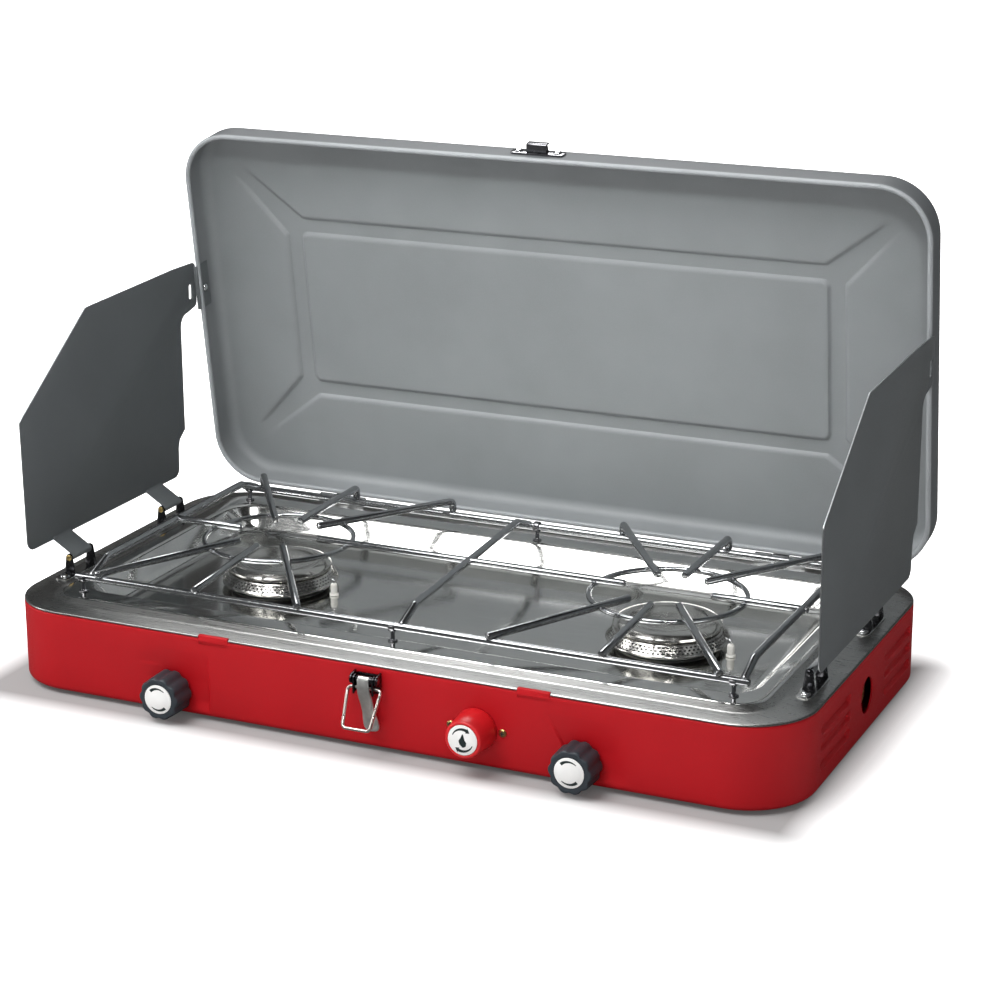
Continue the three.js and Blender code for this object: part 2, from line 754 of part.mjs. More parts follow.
// One leg of a windshield: a strip that leaves the panel and slopes in to the knuckle on the pin.
function shieldLeg(y) {
  const { x, z } = SHIELD_AXIS;
  const middle = SHIELD_INNER + SHEET / 2;
  const slope = new THREE.Vector2(x - middle, z - SHIELD_LEG.bendZ);
  const length = slope.length() - KNUCKLE_RADIUS + 0.6;
  slope.normalize();
  const side = new THREE.Vector2(-slope.y, slope.x).multiplyScalar(SHEET / 2);
  const end = new THREE.Vector2(middle, SHIELD_LEG.bendZ).addScaledVector(slope, length);
  const [from, to] = [y - SHIELD_LEG.width / 2, y + SHIELD_LEG.width / 2];
  const strip = plateAcrossY(
    [
      [SHIELD_INNER, SHIELD_LEG.bendZ + 4],
      [SHIELD_INNER, SHIELD_LEG.bendZ + 0.4],
      [end.x - side.x, end.y - side.y],
      [end.x + side.x, end.y + side.y],
      [SHIELD_INNER + SHEET, SHIELD_LEG.bendZ - 0.4],
      [SHIELD_INNER + SHEET, SHIELD_LEG.bendZ + 4],
    ],
    from,
    to,
  );
  const knuckle = bar([x, from, z], [x, to, z], KNUCKLE_RADIUS, 12);
  return cut(join(strip, knuckle), bar([x, from - 1, z], [x, to + 1, z], PIN_HOLE, 12));
}

function windshield(sign) {
  const panel = plateAcrossX(SHIELD_OUTLINE, SHIELD_INNER, SHIELD_INNER + SHEET);
  const slot = plateAcrossX(
    [
      [122, 224],
      [126, 224],
      [126, 236],
      [122, 236],
    ],
    SHIELD_INNER - 1,
    SHIELD_INNER + 2,
  );
  return mirrored(cut(join(panel, ...SHIELD_HINGE_Y.map(shieldLeg)), slot), sign);
}

// A folded bracket riveted to the pan's side strip, with the pin that a windshield knuckle turns on.
function shieldBracket(sign, y) {
  const { x, z } = SHIELD_AXIS;
  const base = box(x - 7, x + 6, y - 14.4, y + 14.4, FLANGE_TOP + GAP, FLANGE_TOP + GAP + SHEET);
  const ears = [-1, 1].map((way) => {
    const [near, far] = [y + way * 13.2, y + way * 14.4].sort((a, b) => a - b);
    const post = box(x - 2.8, x + 2.8, near, far, FLANGE_TOP + GAP, z);
    return join(post, bar([x, near, z], [x, far, z], 2.8, 12));
  });
  const pin = bar([x, y - 15.2, z], [x, y + 15.2, z], PIN_RADIUS, 10);
  return mirrored(join(base, ...ears, pin), sign);
}

for (const [side, sign] of Object.entries(SIDES)) {
  add(`windshield_${side}`, windshield(sign), "shieldGrey");
  add(`windshield_bracket_front_${side}`, shieldBracket(sign, SHIELD_HINGE_Y[0]), "chrome");
  add(`windshield_bracket_rear_${side}`, shieldBracket(sign, SHIELD_HINGE_Y[1]), "chrome");
}

// ---- Latch --------------------------------------------------------------------------------------
function latchBase() {
  const plate = box(-10, 10, FRONT - 1.5, FRONT - GAP, 40, 57);
  const ears = [-1, 1].map((way) => {
    const [near, far] = [way * 8.8, way * 10].sort((a, b) => a - b);
    const web = box(near, far, LATCH.y, FRONT - 1, LATCH.z - 3.5, LATCH.z + 3.5);
    return join(web, bar([near, LATCH.y, LATCH.z], [far, LATCH.y, LATCH.z], 3.5, 14));
  });
  const pin = bar([-10.6, LATCH.y, LATCH.z], [10.6, LATCH.y, LATCH.z], PIN_RADIUS, 10);
  return join(plate, ...ears, pin);
}

const BAIL_PIVOT_Z = LATCH.z - BAIL.drop;

// The lever hangs from the pin: two cheeks that also carry the bail, and a waisted thumb plate.
function latchLever() {
  const { y, z } = LATCH;
  const cheeks = [-1, 1].map((way) => {
    const [near, far] = [way * 6.6, way * 7.8].sort((a, b) => a - b);
    const top = bar([near, y, z], [far, y, z], 3.2, 12);
    const web = box(near, far, y - 2.6, y + 2.6, BAIL_PIVOT_Z - 4, z);
    return join(top, web);
  });
  const bridge = box(-7.8, 7.8, y - 3.8, y - 2.6, BAIL_PIVOT_Z - 4, z + 1);
  const plate = plateAcrossY(
    [
      [-7.8, BAIL_PIVOT_Z - 3],
      [-4.6, 34],
      [-5, 24],
      [-7, 17],
      [7, 17],
      [5, 24],
      [4.6, 34],
      [7.8, BAIL_PIVOT_Z - 3],
    ],
    y - 3.8,
    y - 2.6,
  );
  const holes = [
    bar([-9, y, z], [9, y, z], PIN_HOLE, 12),
    bar([-9, y, BAIL_PIVOT_Z], [9, y, BAIL_PIVOT_Z], BAIL.wire + 0.2, 10),
  ];
  return cut(join(...cheeks, bridge, plate), ...holes);
}

// A closed wire loop: its top bar turns in the lever's cheeks and its far bar pulls on the lid's catch.
function latchBail() {
  const { length, tilt, wire: radius } = BAIL;
  const lean = THREE.MathUtils.degToRad(tilt);
  const at = (x, down) => [
    x,
    LATCH.y - down * Math.sin(lean),
    BAIL_PIVOT_Z - down * Math.cos(lean),
  ];
  const top = bar(at(-12.5, 0), at(12.5, 0), radius, 8);
  const sides = [-1, 1].map((way) => bar(at(way * 12, -0.8), at(way * 14, length + 0.8), radius, 8));
  const foot = bar(at(-14.5, length), at(14.5, length), radius, 8);
  return join(top, ...sides, foot);
}

add("latch_base", latchBase(), "chrome");
add("latch_lever", latchLever(), "chrome");
add("latch_bail", latchBail(), "chrome");

stove.position.set(0, CENTRE_SHIFT, FOOT_HEIGHT);
export default stove;
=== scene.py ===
"""The looks of a two-burner suitcase camp stove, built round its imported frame.

Shapes are written in millimetres in the case's own frame: +X to the cook's right, +Y to the back, +Z up,
with the origin at the middle of the case's underside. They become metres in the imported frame's space when a
piece is made. Lights and the floor are written in metres.
"""

import json
import math

import bmesh
import bpy
from mathutils import Matrix, Vector

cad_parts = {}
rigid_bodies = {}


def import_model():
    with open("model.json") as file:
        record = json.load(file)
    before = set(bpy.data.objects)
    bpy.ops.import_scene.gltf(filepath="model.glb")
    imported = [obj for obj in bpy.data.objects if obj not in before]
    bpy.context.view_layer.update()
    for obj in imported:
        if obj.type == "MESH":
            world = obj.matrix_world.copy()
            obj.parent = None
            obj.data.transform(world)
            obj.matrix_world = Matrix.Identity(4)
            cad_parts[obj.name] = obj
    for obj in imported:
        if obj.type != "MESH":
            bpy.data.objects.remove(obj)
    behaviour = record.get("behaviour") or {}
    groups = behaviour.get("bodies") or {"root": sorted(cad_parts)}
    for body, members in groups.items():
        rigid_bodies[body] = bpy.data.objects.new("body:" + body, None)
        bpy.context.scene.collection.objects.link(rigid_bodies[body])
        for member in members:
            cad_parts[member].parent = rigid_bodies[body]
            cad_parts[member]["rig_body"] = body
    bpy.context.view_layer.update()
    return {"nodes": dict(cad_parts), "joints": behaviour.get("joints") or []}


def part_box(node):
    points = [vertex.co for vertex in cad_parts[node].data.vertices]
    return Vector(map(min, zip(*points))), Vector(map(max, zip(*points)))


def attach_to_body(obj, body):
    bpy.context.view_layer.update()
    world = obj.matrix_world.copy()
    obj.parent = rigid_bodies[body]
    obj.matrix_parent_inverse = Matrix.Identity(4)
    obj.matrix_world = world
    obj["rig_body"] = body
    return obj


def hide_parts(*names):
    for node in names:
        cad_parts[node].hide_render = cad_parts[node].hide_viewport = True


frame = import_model()

# ---- Units and places ----------------------------------------------------------------------------
MM = 0.001
case_low, case_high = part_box("base_case")
ORIGIN = Vector(((case_low.x + case_high.x) / 2, (case_low.y + case_high.y) / 2, case_low.z))
SIDES = {"left": -1, "right": 1}


def place(point):
    """A point of the case's frame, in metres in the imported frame."""
    return ORIGIN + Vector(point) * MM


def span(node):
    """The lowest and highest corners of a CAD node, in millimetres in the case's frame."""
    low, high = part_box(node)
    return (low - ORIGIN) / MM, (high - ORIGIN) / MM


def middle(node):
    low, high = span(node)
    return (low + high) / 2


# ---- Outlines and curves -------------------------------------------------------------------------
def smooth_step(value, edge=1.0):
    """0 below -edge, 1 above +edge, and a smooth rise between."""
    t = min(max((value + edge) / (2 * edge), 0.0), 1.0)
    return t * t * (3 - 2 * t)


def arc(x, y, radius, start, end, steps=8):
    angles = [math.radians(start + (end - start) * i / steps) for i in range(steps + 1)]
    return [(x + radius * math.cos(a), y + radius * math.sin(a)) for a in angles]


def circle(x, y, radius, steps=32):
    return arc(x, y, radius, 0, 360, steps)[:-1]


def rounded(points, radius, steps=6, closed=False):
    """A path or outline with its corners rounded to about the radius."""
    points = [Vector(p) for p in points]
    if closed:
        points = [points[-1], *points, points[0]]
    made = [] if closed else [points[0]]
    for before, corner, after in zip(points, points[1:], points[2:]):
        back, on = before - corner, after - corner
        half_turn = back.angle(on) / 2
        reach = min(radius / max(math.tan(half_turn), 1e-6), 0.49 * back.length, 0.49 * on.length)
        start = corner + back.normalized() * reach
        end = corner + on.normalized() * reach
        for i in range(steps + 1):
            t = i / steps
            made.append(start.lerp(corner, t).lerp(corner.lerp(end, t), t))
    if not closed:
        made.append(points[-1])
    return made


def rectangle(a0, a1, b0, b1, radius, steps=6):
    """The outline of a rectangle with rounded corners."""
    return rounded([(a0, b0), (a1, b0), (a1, b1), (a0, b1)], radius, steps, closed=True)


def ribbon(path, thickness):
    """The closed outline of a strip of sheet that follows a flat path."""
    path = [Vector(p) for p in path]
    left, right = [], []
    for i, point in enumerate(path):
        run = (path[min(i + 1, len(path) - 1)] - path[max(i - 1, 0)]).normalized()
        side = Vector((-run.y, run.x)) * thickness / 2
        left.append(point + side)
        right.append(point - side)
    return left + right[::-1]


# ---- Solids --------------------------------------------------------------------------------------
class Shape:
    """Points and faces in millimetres, gathered from several surfaces, with a material slot for each face."""

    def __init__(self):
        self.points = []
        self.faces = []
        self.slots = []

    def add(self, solid, slot=0, edge_slot=None, move=None):
        points, faces = solid
        first = len(self.points)
        self.points += [move @ Vector(p) if move else Vector(p) for p in points]
        for face in faces:
            self.faces.append([first + i for i in face])
            is_edge = edge_slot is not None and len(face) == 4
            self.slots.append(edge_slot if is_edge else slot)
        return self


def loft(rings, loop=False):
    """A surface through equal rings of points, closed at both ends unless the last ring joins the first."""
    size, count = len(rings[0]), len(rings)
    faces = []
    for r in range(count if loop else count - 1):
        here, there = r * size, ((r + 1) % count) * size
        for i in range(size):
            j = (i + 1) % size
            faces.append((here + i, here + j, there + j, there + i))
    if not loop:
        faces.append(tuple(range(size))[::-1])
        faces.append(tuple((count - 1) * size + i for i in range(size)))
    return [p for ring in rings for p in ring], faces


def across_x(outline, x0, x1):
    """A plate between two planes across X, from an outline of (y, z) pairs."""
    return loft([[Vector((x, a, b)) for a, b in outline] for x in (x0, x1)])


def across_y(outline, y0, y1):
    """A plate between two planes across Y, from an outline of (x, z) pairs."""
    return loft([[Vector((a, y, b)) for a, b in outline] for y in (y0, y1)])


def across_z(outline, z0, z1):
    """A plate between two levels, from an outline of (x, y) pairs."""
    return loft([[Vector((a, b, z)) for a, b in outline] for z in (z0, z1)])


def turned(profile, centre, axis=(0, 0, 1), segments=48, loop=False):
    """A turned solid from (radius, height) pairs, with the height taken along the axis from the centre."""
    turn = Vector((0, 0, 1)).rotation_difference(Vector(axis))
    rings = []
    for radius, height in profile:
        flat = circle(0, 0, max(radius, 1e-4), segments)
        rings.append([Vector(centre) + turn @ Vector((x, y, height)) for x, y in flat])
    return loft(rings, loop)


def domed(centre, axis, radius, height, skirt=0.4):
    """A low rivet head that stands on a face."""
    crown = [
        (radius * math.cos(math.radians(a)), skirt + (height - skirt) * math.sin(math.radians(a)))
        for a in range(0, 91, 15)
    ]
    return turned([(0, -0.3), (radius, -0.3), *crown], centre, axis, 24)


def tube(path, radius, sides=14, closed=False):
    """A round wire along a path, with its ends rounded off."""
    path = [Vector(p) for p in path]
    count = len(path)
    rings = []
    side = None
    for i, point in enumerate(path):
        before = path[i - 1] if closed else path[max(i - 1, 0)]
        after = path[(i + 1) % count] if closed else path[min(i + 1, count - 1)]
        run = (after - before).normalized()
        if side is None:
            side = run.orthogonal()
        side = (side - run * side.dot(run)).normalized()
        other = run.cross(side)
        angles = [2 * math.pi * k / sides for k in range(sides)]
        ring = [(side * math.cos(a) + other * math.sin(a)) * radius for a in angles]
        ends = {0: 1, count - 1: -1} if not closed else {}
        if i in ends:
            rounding = [(0.0, 0.55), (0.16, 0.86), (0.5, 1.0)][:: ends[i]]
            for along, share in rounding:
                centre = point + run * along * radius * ends[i]
                rings.append([centre + spoke * share for spoke in ring])
        else:
            rings.append([point + spoke for spoke in ring])
    return loft(rings, closed)


def rounded_box(low, high, radius=0.5, steps=2):
    """A box whose upright edges are rounded; a piece's bevel softens the rest."""
    (x0, y0, z0), (x1, y1, z1) = low, high
    return across_z(rectangle(x0, x1, y0, y1, radius, steps), z0, z1)


# ---- Pressed trays -------------------------------------------------------------------------------
def spread(stops):
    """Positions from the first stop to the last. Each stop is (position, longest step up to it)."""
    made = [stops[0][0]]
    for (start, _), (end, step) in zip(stops, stops[1:]):
        count = max(1, math.ceil(abs(end - start) / step))
        made += [start + (end - start) * i / count for i in range(1, count + 1)]
    return made


def both_ways(positions):
    """Mirrors positions above zero to the other side of it."""
    return [-p for p in reversed(positions) if p > 0] + positions


def tray(size, columns, rows, skirt, panel=None, press=None, corner_steps=14):
    """A pressed sheet: a middle panel with rounded corners, and a skirt of rings round it.

    size is (half width, half depth, corner radius) of the panel. The skirt is (outward offset, height) pairs,
    from the panel's edge on. panel(x, y) gives the panel's height and makes it a grid. press(point, normal)
    is how far the skirt's metal is pushed along its outward normal.
    """
    half_x, half_y, corner = size
    straight_y = half_y - corner
    turns = [straight_y + corner * math.sin(math.pi / 2 * i / corner_steps) for i in range(corner_steps + 1)]
    rows = [r for r in rows if abs(r) < straight_y - 1e-6]
    rows = [-t for t in reversed(turns)] + rows + turns

    def half_width(y):
        over = max(abs(y) - straight_y, 0)
        return half_x - corner + math.sqrt(max(corner**2 - over**2, 0))

    def edge_normal(x, y):
        over = abs(y) - straight_y
        if over < 0:
            return Vector((math.copysign(1, x), 0, 0))
        reach = min(max(abs(x) - (half_x - corner), 0), corner)
        return Vector((math.copysign(reach, x), math.copysign(over, y), 0)).normalized()

    grid = [[(x * half_width(y) / half_x, y) for x in columns] for y in rows]
    last_row, last_column = len(rows) - 1, len(columns) - 1
    loop = [(0, i) for i in range(last_column + 1)]
    loop += [(j, last_column) for j in range(1, last_row + 1)]
    loop += [(last_row, i) for i in range(last_column - 1, -1, -1)]
    loop += [(j, 0) for j in range(last_row - 1, 0, -1)]
    points, faces = [], []
    level = skirt[0][1]
    if panel:
        width = last_column + 1
        points = [Vector((x, y, panel(x, y))) for row in grid for x, y in row]
        for j in range(last_row):
            for i in range(last_column):
                a = j * width + i
                faces.append((a, a + 1, a + width + 1, a + width))
        ring = [j * width + i for j, i in loop]
    else:
        points = [Vector((*grid[j][i], level)) for j, i in loop]
        faces.append(tuple(range(len(loop))))
        ring = list(range(len(loop)))
    for offset, height in skirt[1:]:
        start = len(points)
        for j, i in loop:
            x, y = grid[j][i]
            normal = edge_normal(x, y)
            point = Vector((x, y, height)) + normal * offset
            if press:
                point += normal * press(point, normal)
            points.append(point)
        new_ring = list(range(start, start + len(loop)))
        for k in range(len(loop)):
            following = (k + 1) % len(loop)
            faces.append((ring[following], ring[k], new_ring[k], new_ring[following]))
        ring = new_ring
    return points, faces


# ---- Materials -----------------------------------------------------------------------------------
def start_material(name):
    material = bpy.data.materials.new(name)
    material.use_nodes = True
    tree = material.node_tree
    return material, tree, tree.nodes["Principled BSDF"]


def node(tree, kind, inputs=None, **settings):
    """A shader node with its settings, whose inputs are values or links."""
    made = tree.nodes.new("ShaderNode" + kind)
    for key, value in settings.items():
        setattr(made, key, value)
    for key, value in (inputs or {}).items():
        if isinstance(value, bpy.types.NodeSocket):
            tree.links.new(value, made.inputs[key])
        else:
            made.inputs[key].default_value = value
    return made


def grain(tree, scale, stretch=(1, 1, 1), detail=2.0, roughness=0.5):
    """Noise in the object's own space, with a scale per metre and a stretch for each axis."""
    where = node(tree, "TexCoord").outputs["Object"]
    mapped = node(tree, "Mapping", {"Vector": where, "Scale": [scale * s for s in stretch]})
    inputs = {"Vector": mapped.outputs[0], "Scale": 1.0, "Detail": detail, "Roughness": roughness}
    return node(tree, "TexNoise", inputs).outputs["Fac"]


def remap(tree, value, low, high, start=0.3, end=0.7):
    """A value between low and high as the input goes from start to end, held at both ends."""
    inputs = {"Value": value, "From Min": start, "From Max": end, "To Min": low, "To Max": high}
    return node(tree, "MapRange", inputs).outputs["Result"]


def tint(tree, factor, first, second):
    """A colour between two colours."""
    mix = node(tree, "Mix", data_type="RGBA")
    if isinstance(factor, bpy.types.NodeSocket):
        tree.links.new(factor, mix.inputs[0])
    else:
        mix.inputs[0].default_value = factor
    for socket, colour in ((mix.inputs[6], first), (mix.inputs[7], second)):
        if isinstance(colour, bpy.types.NodeSocket):
            tree.links.new(colour, socket)
        else:
            socket.default_value = (*colour, 1)
    return mix.outputs[2]


def edge_wear_and_highlight(tree, start=0.53, end=0.6):
    """0 on flat faces and 1 on sharp outer edges."""
    sharp = node(tree, "NewGeometry").outputs["Pointiness"]
    return remap(tree, sharp, 0, 1, start, end)


def bump(tree, surface, height, strength, depth):
    made = node(tree, "Bump", {"Height": height, "Strength": strength, "Distance": depth})
    tree.links.new(made.outputs[0], surface.inputs["Normal"])


def shaded(colour, share):
    return tuple(c * share for c in colour)


def coated(name, colour, roughness=0.45, texture=0.25, shine=0.5, grain_size=0.6):
    """Baked powder coat or paint on sheet steel: orange peel, faint dust, and sharp edges painted lighter,
    partly for rubbed paint and partly as a painted highlight.
    """
    material, tree, surface = start_material(name)
    fine = grain(tree, 1 / (grain_size * MM), detail=3)
    broad = grain(tree, 14, detail=3)
    body = tint(tree, remap(tree, broad, 0, 1), shaded(colour, 0.93), shaded(colour, 1.06))
    speck = remap(tree, fine, 0, 0.35, 0.45, 0.8)
    body = tint(tree, speck, body, shaded(colour, 1.25))
    # Sharp edges lighter: partly rubbed paint, partly a painted edge highlight.
    body = tint(tree, edge_wear_and_highlight(tree), body, shaded(colour, 1.35))
    tree.links.new(body, surface.inputs["Base Color"])
    tree.links.new(remap(tree, fine, roughness - 0.06, roughness + 0.08), surface.inputs["Roughness"])
    surface.inputs["Specular IOR Level"].default_value = shine
    bump(tree, surface, fine, texture, 0.06 * MM)
    return material


def steel(
    name, colour, roughness, stretch=(1, 1, 1), scale=500, streak=0.12, wave=0.0, dirt=0.0, scratch=0.12
):
    """Bare or plated metal: fine streaks along the way it was rolled, or a slow waviness of thin sheet."""
    material, tree, surface = start_material(name)
    surface.inputs["Metallic"].default_value = 1
    lines = grain(tree, scale, stretch, detail=4, roughness=0.6)
    broad = grain(tree, 22, detail=2)
    body = tint(tree, remap(tree, lines, 0, 1), shaded(colour, 0.88), shaded(colour, 1.05))
    if dirt:
        body = tint(tree, remap(tree, broad, 0, dirt), body, shaded(colour, 0.45))
    tree.links.new(body, surface.inputs["Base Color"])
    rough = remap(tree, lines, roughness - streak / 2, roughness + streak / 2)
    tree.links.new(rough, surface.inputs["Roughness"])
    if wave:
        slow = grain(tree, 9, (1, 1.4, 1), detail=1.5)
        bump(tree, surface, slow, 1.0, wave * MM)
    else:
        bump(tree, surface, lines, scratch, 0.03 * MM)
    return material


def moulded(name, colour, roughness=0.5, texture=0.3, size=0.5):
    """Moulded plastic, rubber or ceramic with a fine spark texture."""
    material, tree, surface = start_material(name)
    fine = grain(tree, 1 / (size * MM), detail=3)
    broad = grain(tree, 60, detail=2)
    body = tint(tree, remap(tree, broad, 0, 1), shaded(colour, 0.9), shaded(colour, 1.1))
    # Sharp edges lighter: partly wear, partly a painted edge highlight.
    body = tint(tree, edge_wear_and_highlight(tree), body, shaded(colour, 1.6))
    tree.links.new(body, surface.inputs["Base Color"])
    tree.links.new(remap(tree, fine, roughness - 0.08, roughness + 0.08), surface.inputs["Roughness"])
    bump(tree, surface, fine, texture, 0.05 * MM)
    return material


ALONG_X = (0.02, 1, 1)
CASE_RED = coated("case_red", (0.37, 0.004, 0.008), 0.5, 0.15, shine=0.2, grain_size=0.9)
LID_GREY = coated("lid_grey", (0.205, 0.218, 0.225), 0.5, 0.3)
# A lighter copy of the lid's paint for its rolled rim, as a painted highlight.
LID_RIM_HIGHLIGHT = coated("lid_rim_painted_highlight", (0.27, 0.285, 0.295), 0.45, 0.25)
# A darker copy of the lid's paint, put on its outer faces as painted shade.
LID_OUTSIDE_SHADE = coated("lid_outside_painted_shade", (0.11, 0.118, 0.124), 0.5, 0.3, shine=0.3)
SHIELD_GREY = coated("windshield_grey", (0.105, 0.115, 0.12), 0.42, 0.25)
SHIELD_EDGE = steel("cut_edge", (0.55, 0.57, 0.58), 0.35)
PAN_STEEL = steel("pan_steel", (0.74, 0.74, 0.72), 0.13, ALONG_X, 900, 0.08, wave=0.2)
PAN_RIM = steel("pan_rim", (0.44, 0.44, 0.43), 0.28, ALONG_X, 1800, 0.03, scratch=0.005)
GRATE_WIRE = steel("grate_wire", (0.42, 0.43, 0.44), 0.2, scale=400, streak=0.1)
CHROME = steel("chrome", (0.72, 0.73, 0.74), 0.12, scale=300, streak=0.08)
DARK_CHROME = steel("dark_chrome", (0.22, 0.22, 0.23), 0.22, scale=300)
BLACKENED = steel("blackened_steel", (0.06, 0.06, 0.065), 0.25, scale=300)
BURNER_STEEL = steel("burner_steel", (0.66, 0.65, 0.62), 0.2, scale=400, dirt=0.25)
NICKEL = steel("worn_nickel", (0.78, 0.78, 0.75), 0.46, scale=350, streak=0.2, scratch=0.3)
WIRE_NICKEL = steel("wire_nickel", (0.86, 0.8, 0.74), 0.3, scale=300, streak=0.08)
BRASS = steel("brass", (0.62, 0.45, 0.18), 0.3, scale=500)
ALUMINIUM = steel("aluminium", (0.6, 0.6, 0.6), 0.42, scale=250, streak=0.2)
# Near-black painted shade for the insides of the flame ports and the screws' slots.
HOLE_SHADE = moulded("painted_hole_shade", (0.012, 0.012, 0.012), 0.8)
SLATE = moulded("knob_slate", (0.026, 0.034, 0.042), 0.5, 0.35)
BLACK = moulded("black_plastic", (0.01, 0.01, 0.011), 0.45)
RUBBER = moulded("rubber", (0.014, 0.014, 0.014), 0.8, 0.5, 0.8)
LABEL_WHITE = moulded("white_label", (0.62, 0.62, 0.61), 0.35, 0.05)
LABEL_INK = moulded("label_ink", (0.008, 0.014, 0.014), 0.4, 0.05)
CERAMIC = moulded("ceramic", (0.6, 0.59, 0.56), 0.25, 0.1)
KNOB_RED = moulded("knob_red", (0.5, 0.008, 0.012), 0.38, 0.2)

# ---- Pieces --------------------------------------------------------------------------------------
SHARP_ANGLE = 38
SHEET = 1.0  # the painted lid's and windshields' metal


def bake(thing):
    """Applies the modifiers of a Blender object to its mesh."""
    graph = bpy.context.evaluated_depsgraph_get()
    made = bpy.data.meshes.new_from_object(thing.evaluated_get(graph), depsgraph=graph)
    old = thing.data
    thing.modifiers.clear()
    thing.data = made
    bpy.data.meshes.remove(old)


def make_object(name, shape, materials, recalculate=True):
    """A Blender object from a shape, in metres, with doubled points merged."""
    mesh = bpy.data.meshes.new(name)
    mesh.from_pydata([place(p) for p in shape.points], [], shape.faces)
    for material in materials:
        mesh.materials.append(material)
    mesh.polygons.foreach_set("material_index", shape.slots)
    work = bmesh.new()
    work.from_mesh(mesh)
    bmesh.ops.remove_doubles(work, verts=work.verts, dist=1e-6)
    if recalculate:
        bmesh.ops.recalc_face_normals(work, faces=work.faces)
    work.to_mesh(mesh)
    work.free()
    thing = bpy.data.objects.new(name, mesh)
    bpy.context.scene.collection.objects.link(thing)
    return thing


def flip_if_down(thing):
    """Turns all faces over if the mesh's largest face looks down."""
    largest = max(thing.data.polygons, key=lambda face: face.area)
    if largest.normal.z < 0:
        thing.data.flip_normals()


def thicken(thing, thickness, inward, back_slot=0):
    """Gives an open sheet its thickness, behind its faces or in front of them."""
    modifier = thing.modifiers.new("thickness", "SOLIDIFY")
    modifier.thickness = thickness * MM
    modifier.offset = -1 if inward else 1
    modifier.use_even_offset = True
    modifier.material_offset = back_slot
    modifier.material_offset_rim = back_slot
    bake(thing)


def cut(thing, cutter):
    """Cuts a shape out of an object."""
    tool = make_object("cutter", cutter, [])
    modifier = thing.modifiers.new("cut", "BOOLEAN")
    modifier.operation = "DIFFERENCE"
    modifier.solver = "EXACT"
    modifier.object = tool
    bake(thing)
    bpy.data.objects.remove(tool)


def join_in(thing, extra):
    """Adds the mesh of a second object to the first, and removes the second."""
    work = bmesh.new()
    work.from_mesh(thing.data)
    work.from_mesh(extra.data)
    work.to_mesh(thing.data)
    work.free()
    bpy.data.objects.remove(extra)


def soften(thing, width, segments=2, angle=40):
    """Rounds the sharp edges of an object."""
    modifier = thing.modifiers.new("bevel", "BEVEL")
    modifier.width = width * MM
    modifier.segments = segments
    modifier.limit_method = "ANGLE"
    modifier.angle_limit = math.radians(angle)
    modifier.use_clamp_overlap = True
    bake(thing)


def attach(thing, name):
    """Shades an object, and lets it ride with a CAD node's body."""
    thing.data.shade_smooth()
    thing.data.set_sharp_from_angle(angle=math.radians(SHARP_ANGLE))
    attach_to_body(thing, frame["nodes"][name]["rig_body"])


def finish_piece(thing, name):
    """Attaches an object to a CAD node and lets it stand for that node."""
    attach(thing, name)
    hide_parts(name)


def piece(name, shape, *materials, bevel=0.0):
    """A piece made of closed solids that stands for a CAD node."""
    thing = make_object(name + "_look", shape, materials)
    if bevel:
        soften(thing, bevel)
    finish_piece(thing, name)


# ---- Case ----------------------------------------------------------------------------------------
CASE = {"half_x": span("base_case")[1].x, "half_y": span("base_case")[1].y, "wall": 1.2, "corner": 49}
CASE["tab_top"] = span("base_case")[1].z
CASE["top"] = CASE["tab_top"] - 2.8
CASE["foot"] = 4.0
CASE["roll"] = 2.6
FRONT = -CASE["half_y"]
BURNER_X = middle("burner_cap_right").x
KNOB = {"x": middle("knob_right").x, "z": middle("knob_right").z}
POCKET = {"top": 47, "left": 25, "right": 29, "lean": 0.56, "depth": 2.1}
LOUVRE = {"rows": (17, 29.5, 42), "centres": (-68, 75), "half": 31, "height": 6.0, "depth": 2.6}
PORT = {"y": middle("gas_inlet").y, "z": middle("gas_inlet").z, "radius": 13}


def pocket_depth(x, z):
    """The shallow dished field round each gas knob: flush at its top and deepest beside the knob."""
    depth = 0
    for side in (-1, 1):
        knob_x = side * KNOB["x"]
        left = knob_x - POCKET["left"] + POCKET["lean"] * (POCKET["top"] - z)
        inside = smooth_step(x - left, 0.5) * smooth_step(knob_x + POCKET["right"] - x, 0.7)
        fall = min(max((POCKET["top"] - z) / 22, 0), 1) * smooth_step(z - 7, 4)
        depth += POCKET["depth"] * inside * fall
    return depth


def louvre_depth(y, z):
    """Long pressed-in vents with round ends, three high, in two groups on each side wall."""
    depth = 0
    radius = LOUVRE["height"] / 2
    for centre in LOUVRE["centres"]:
        for row in LOUVRE["rows"]:
            along = max(abs(y - centre) - (LOUVRE["half"] - radius), 0)
            depth += LOUVRE["depth"] * smooth_step(radius - math.hypot(along, z - row), 0.9)
    return depth


def press_case(point, normal):
    """How far the case's wall is pushed out at a point: negative in the pressed-in pockets and vents."""
    if normal.y < -0.99:
        return -pocket_depth(point.x, point.z)
    if abs(normal.x) > 0.99:
        return -louvre_depth(point.y, point.z)
    return 0


def case_skirt():
    """The wall's profile from the underside's edge: a rounded foot, the wall, and a rolled top edge."""
    foot, roll = CASE["foot"], CASE["roll"]
    turns = [math.radians(a) for a in range(0, 91, 15)]
    profile = [(foot * math.sin(a), foot * (1 - math.cos(a))) for a in turns]
    profile += [(foot, z) for z in spread([(foot, 1), (10, 2), (48, 1.0), (CASE["top"] - roll, 2.5)])[1:]]
    for a in range(18, 73, 18):
        lean = math.radians(a)
        profile.append((foot - roll * (1 - math.cos(lean)), CASE["top"] - roll + roll * math.sin(lean)))
    return profile


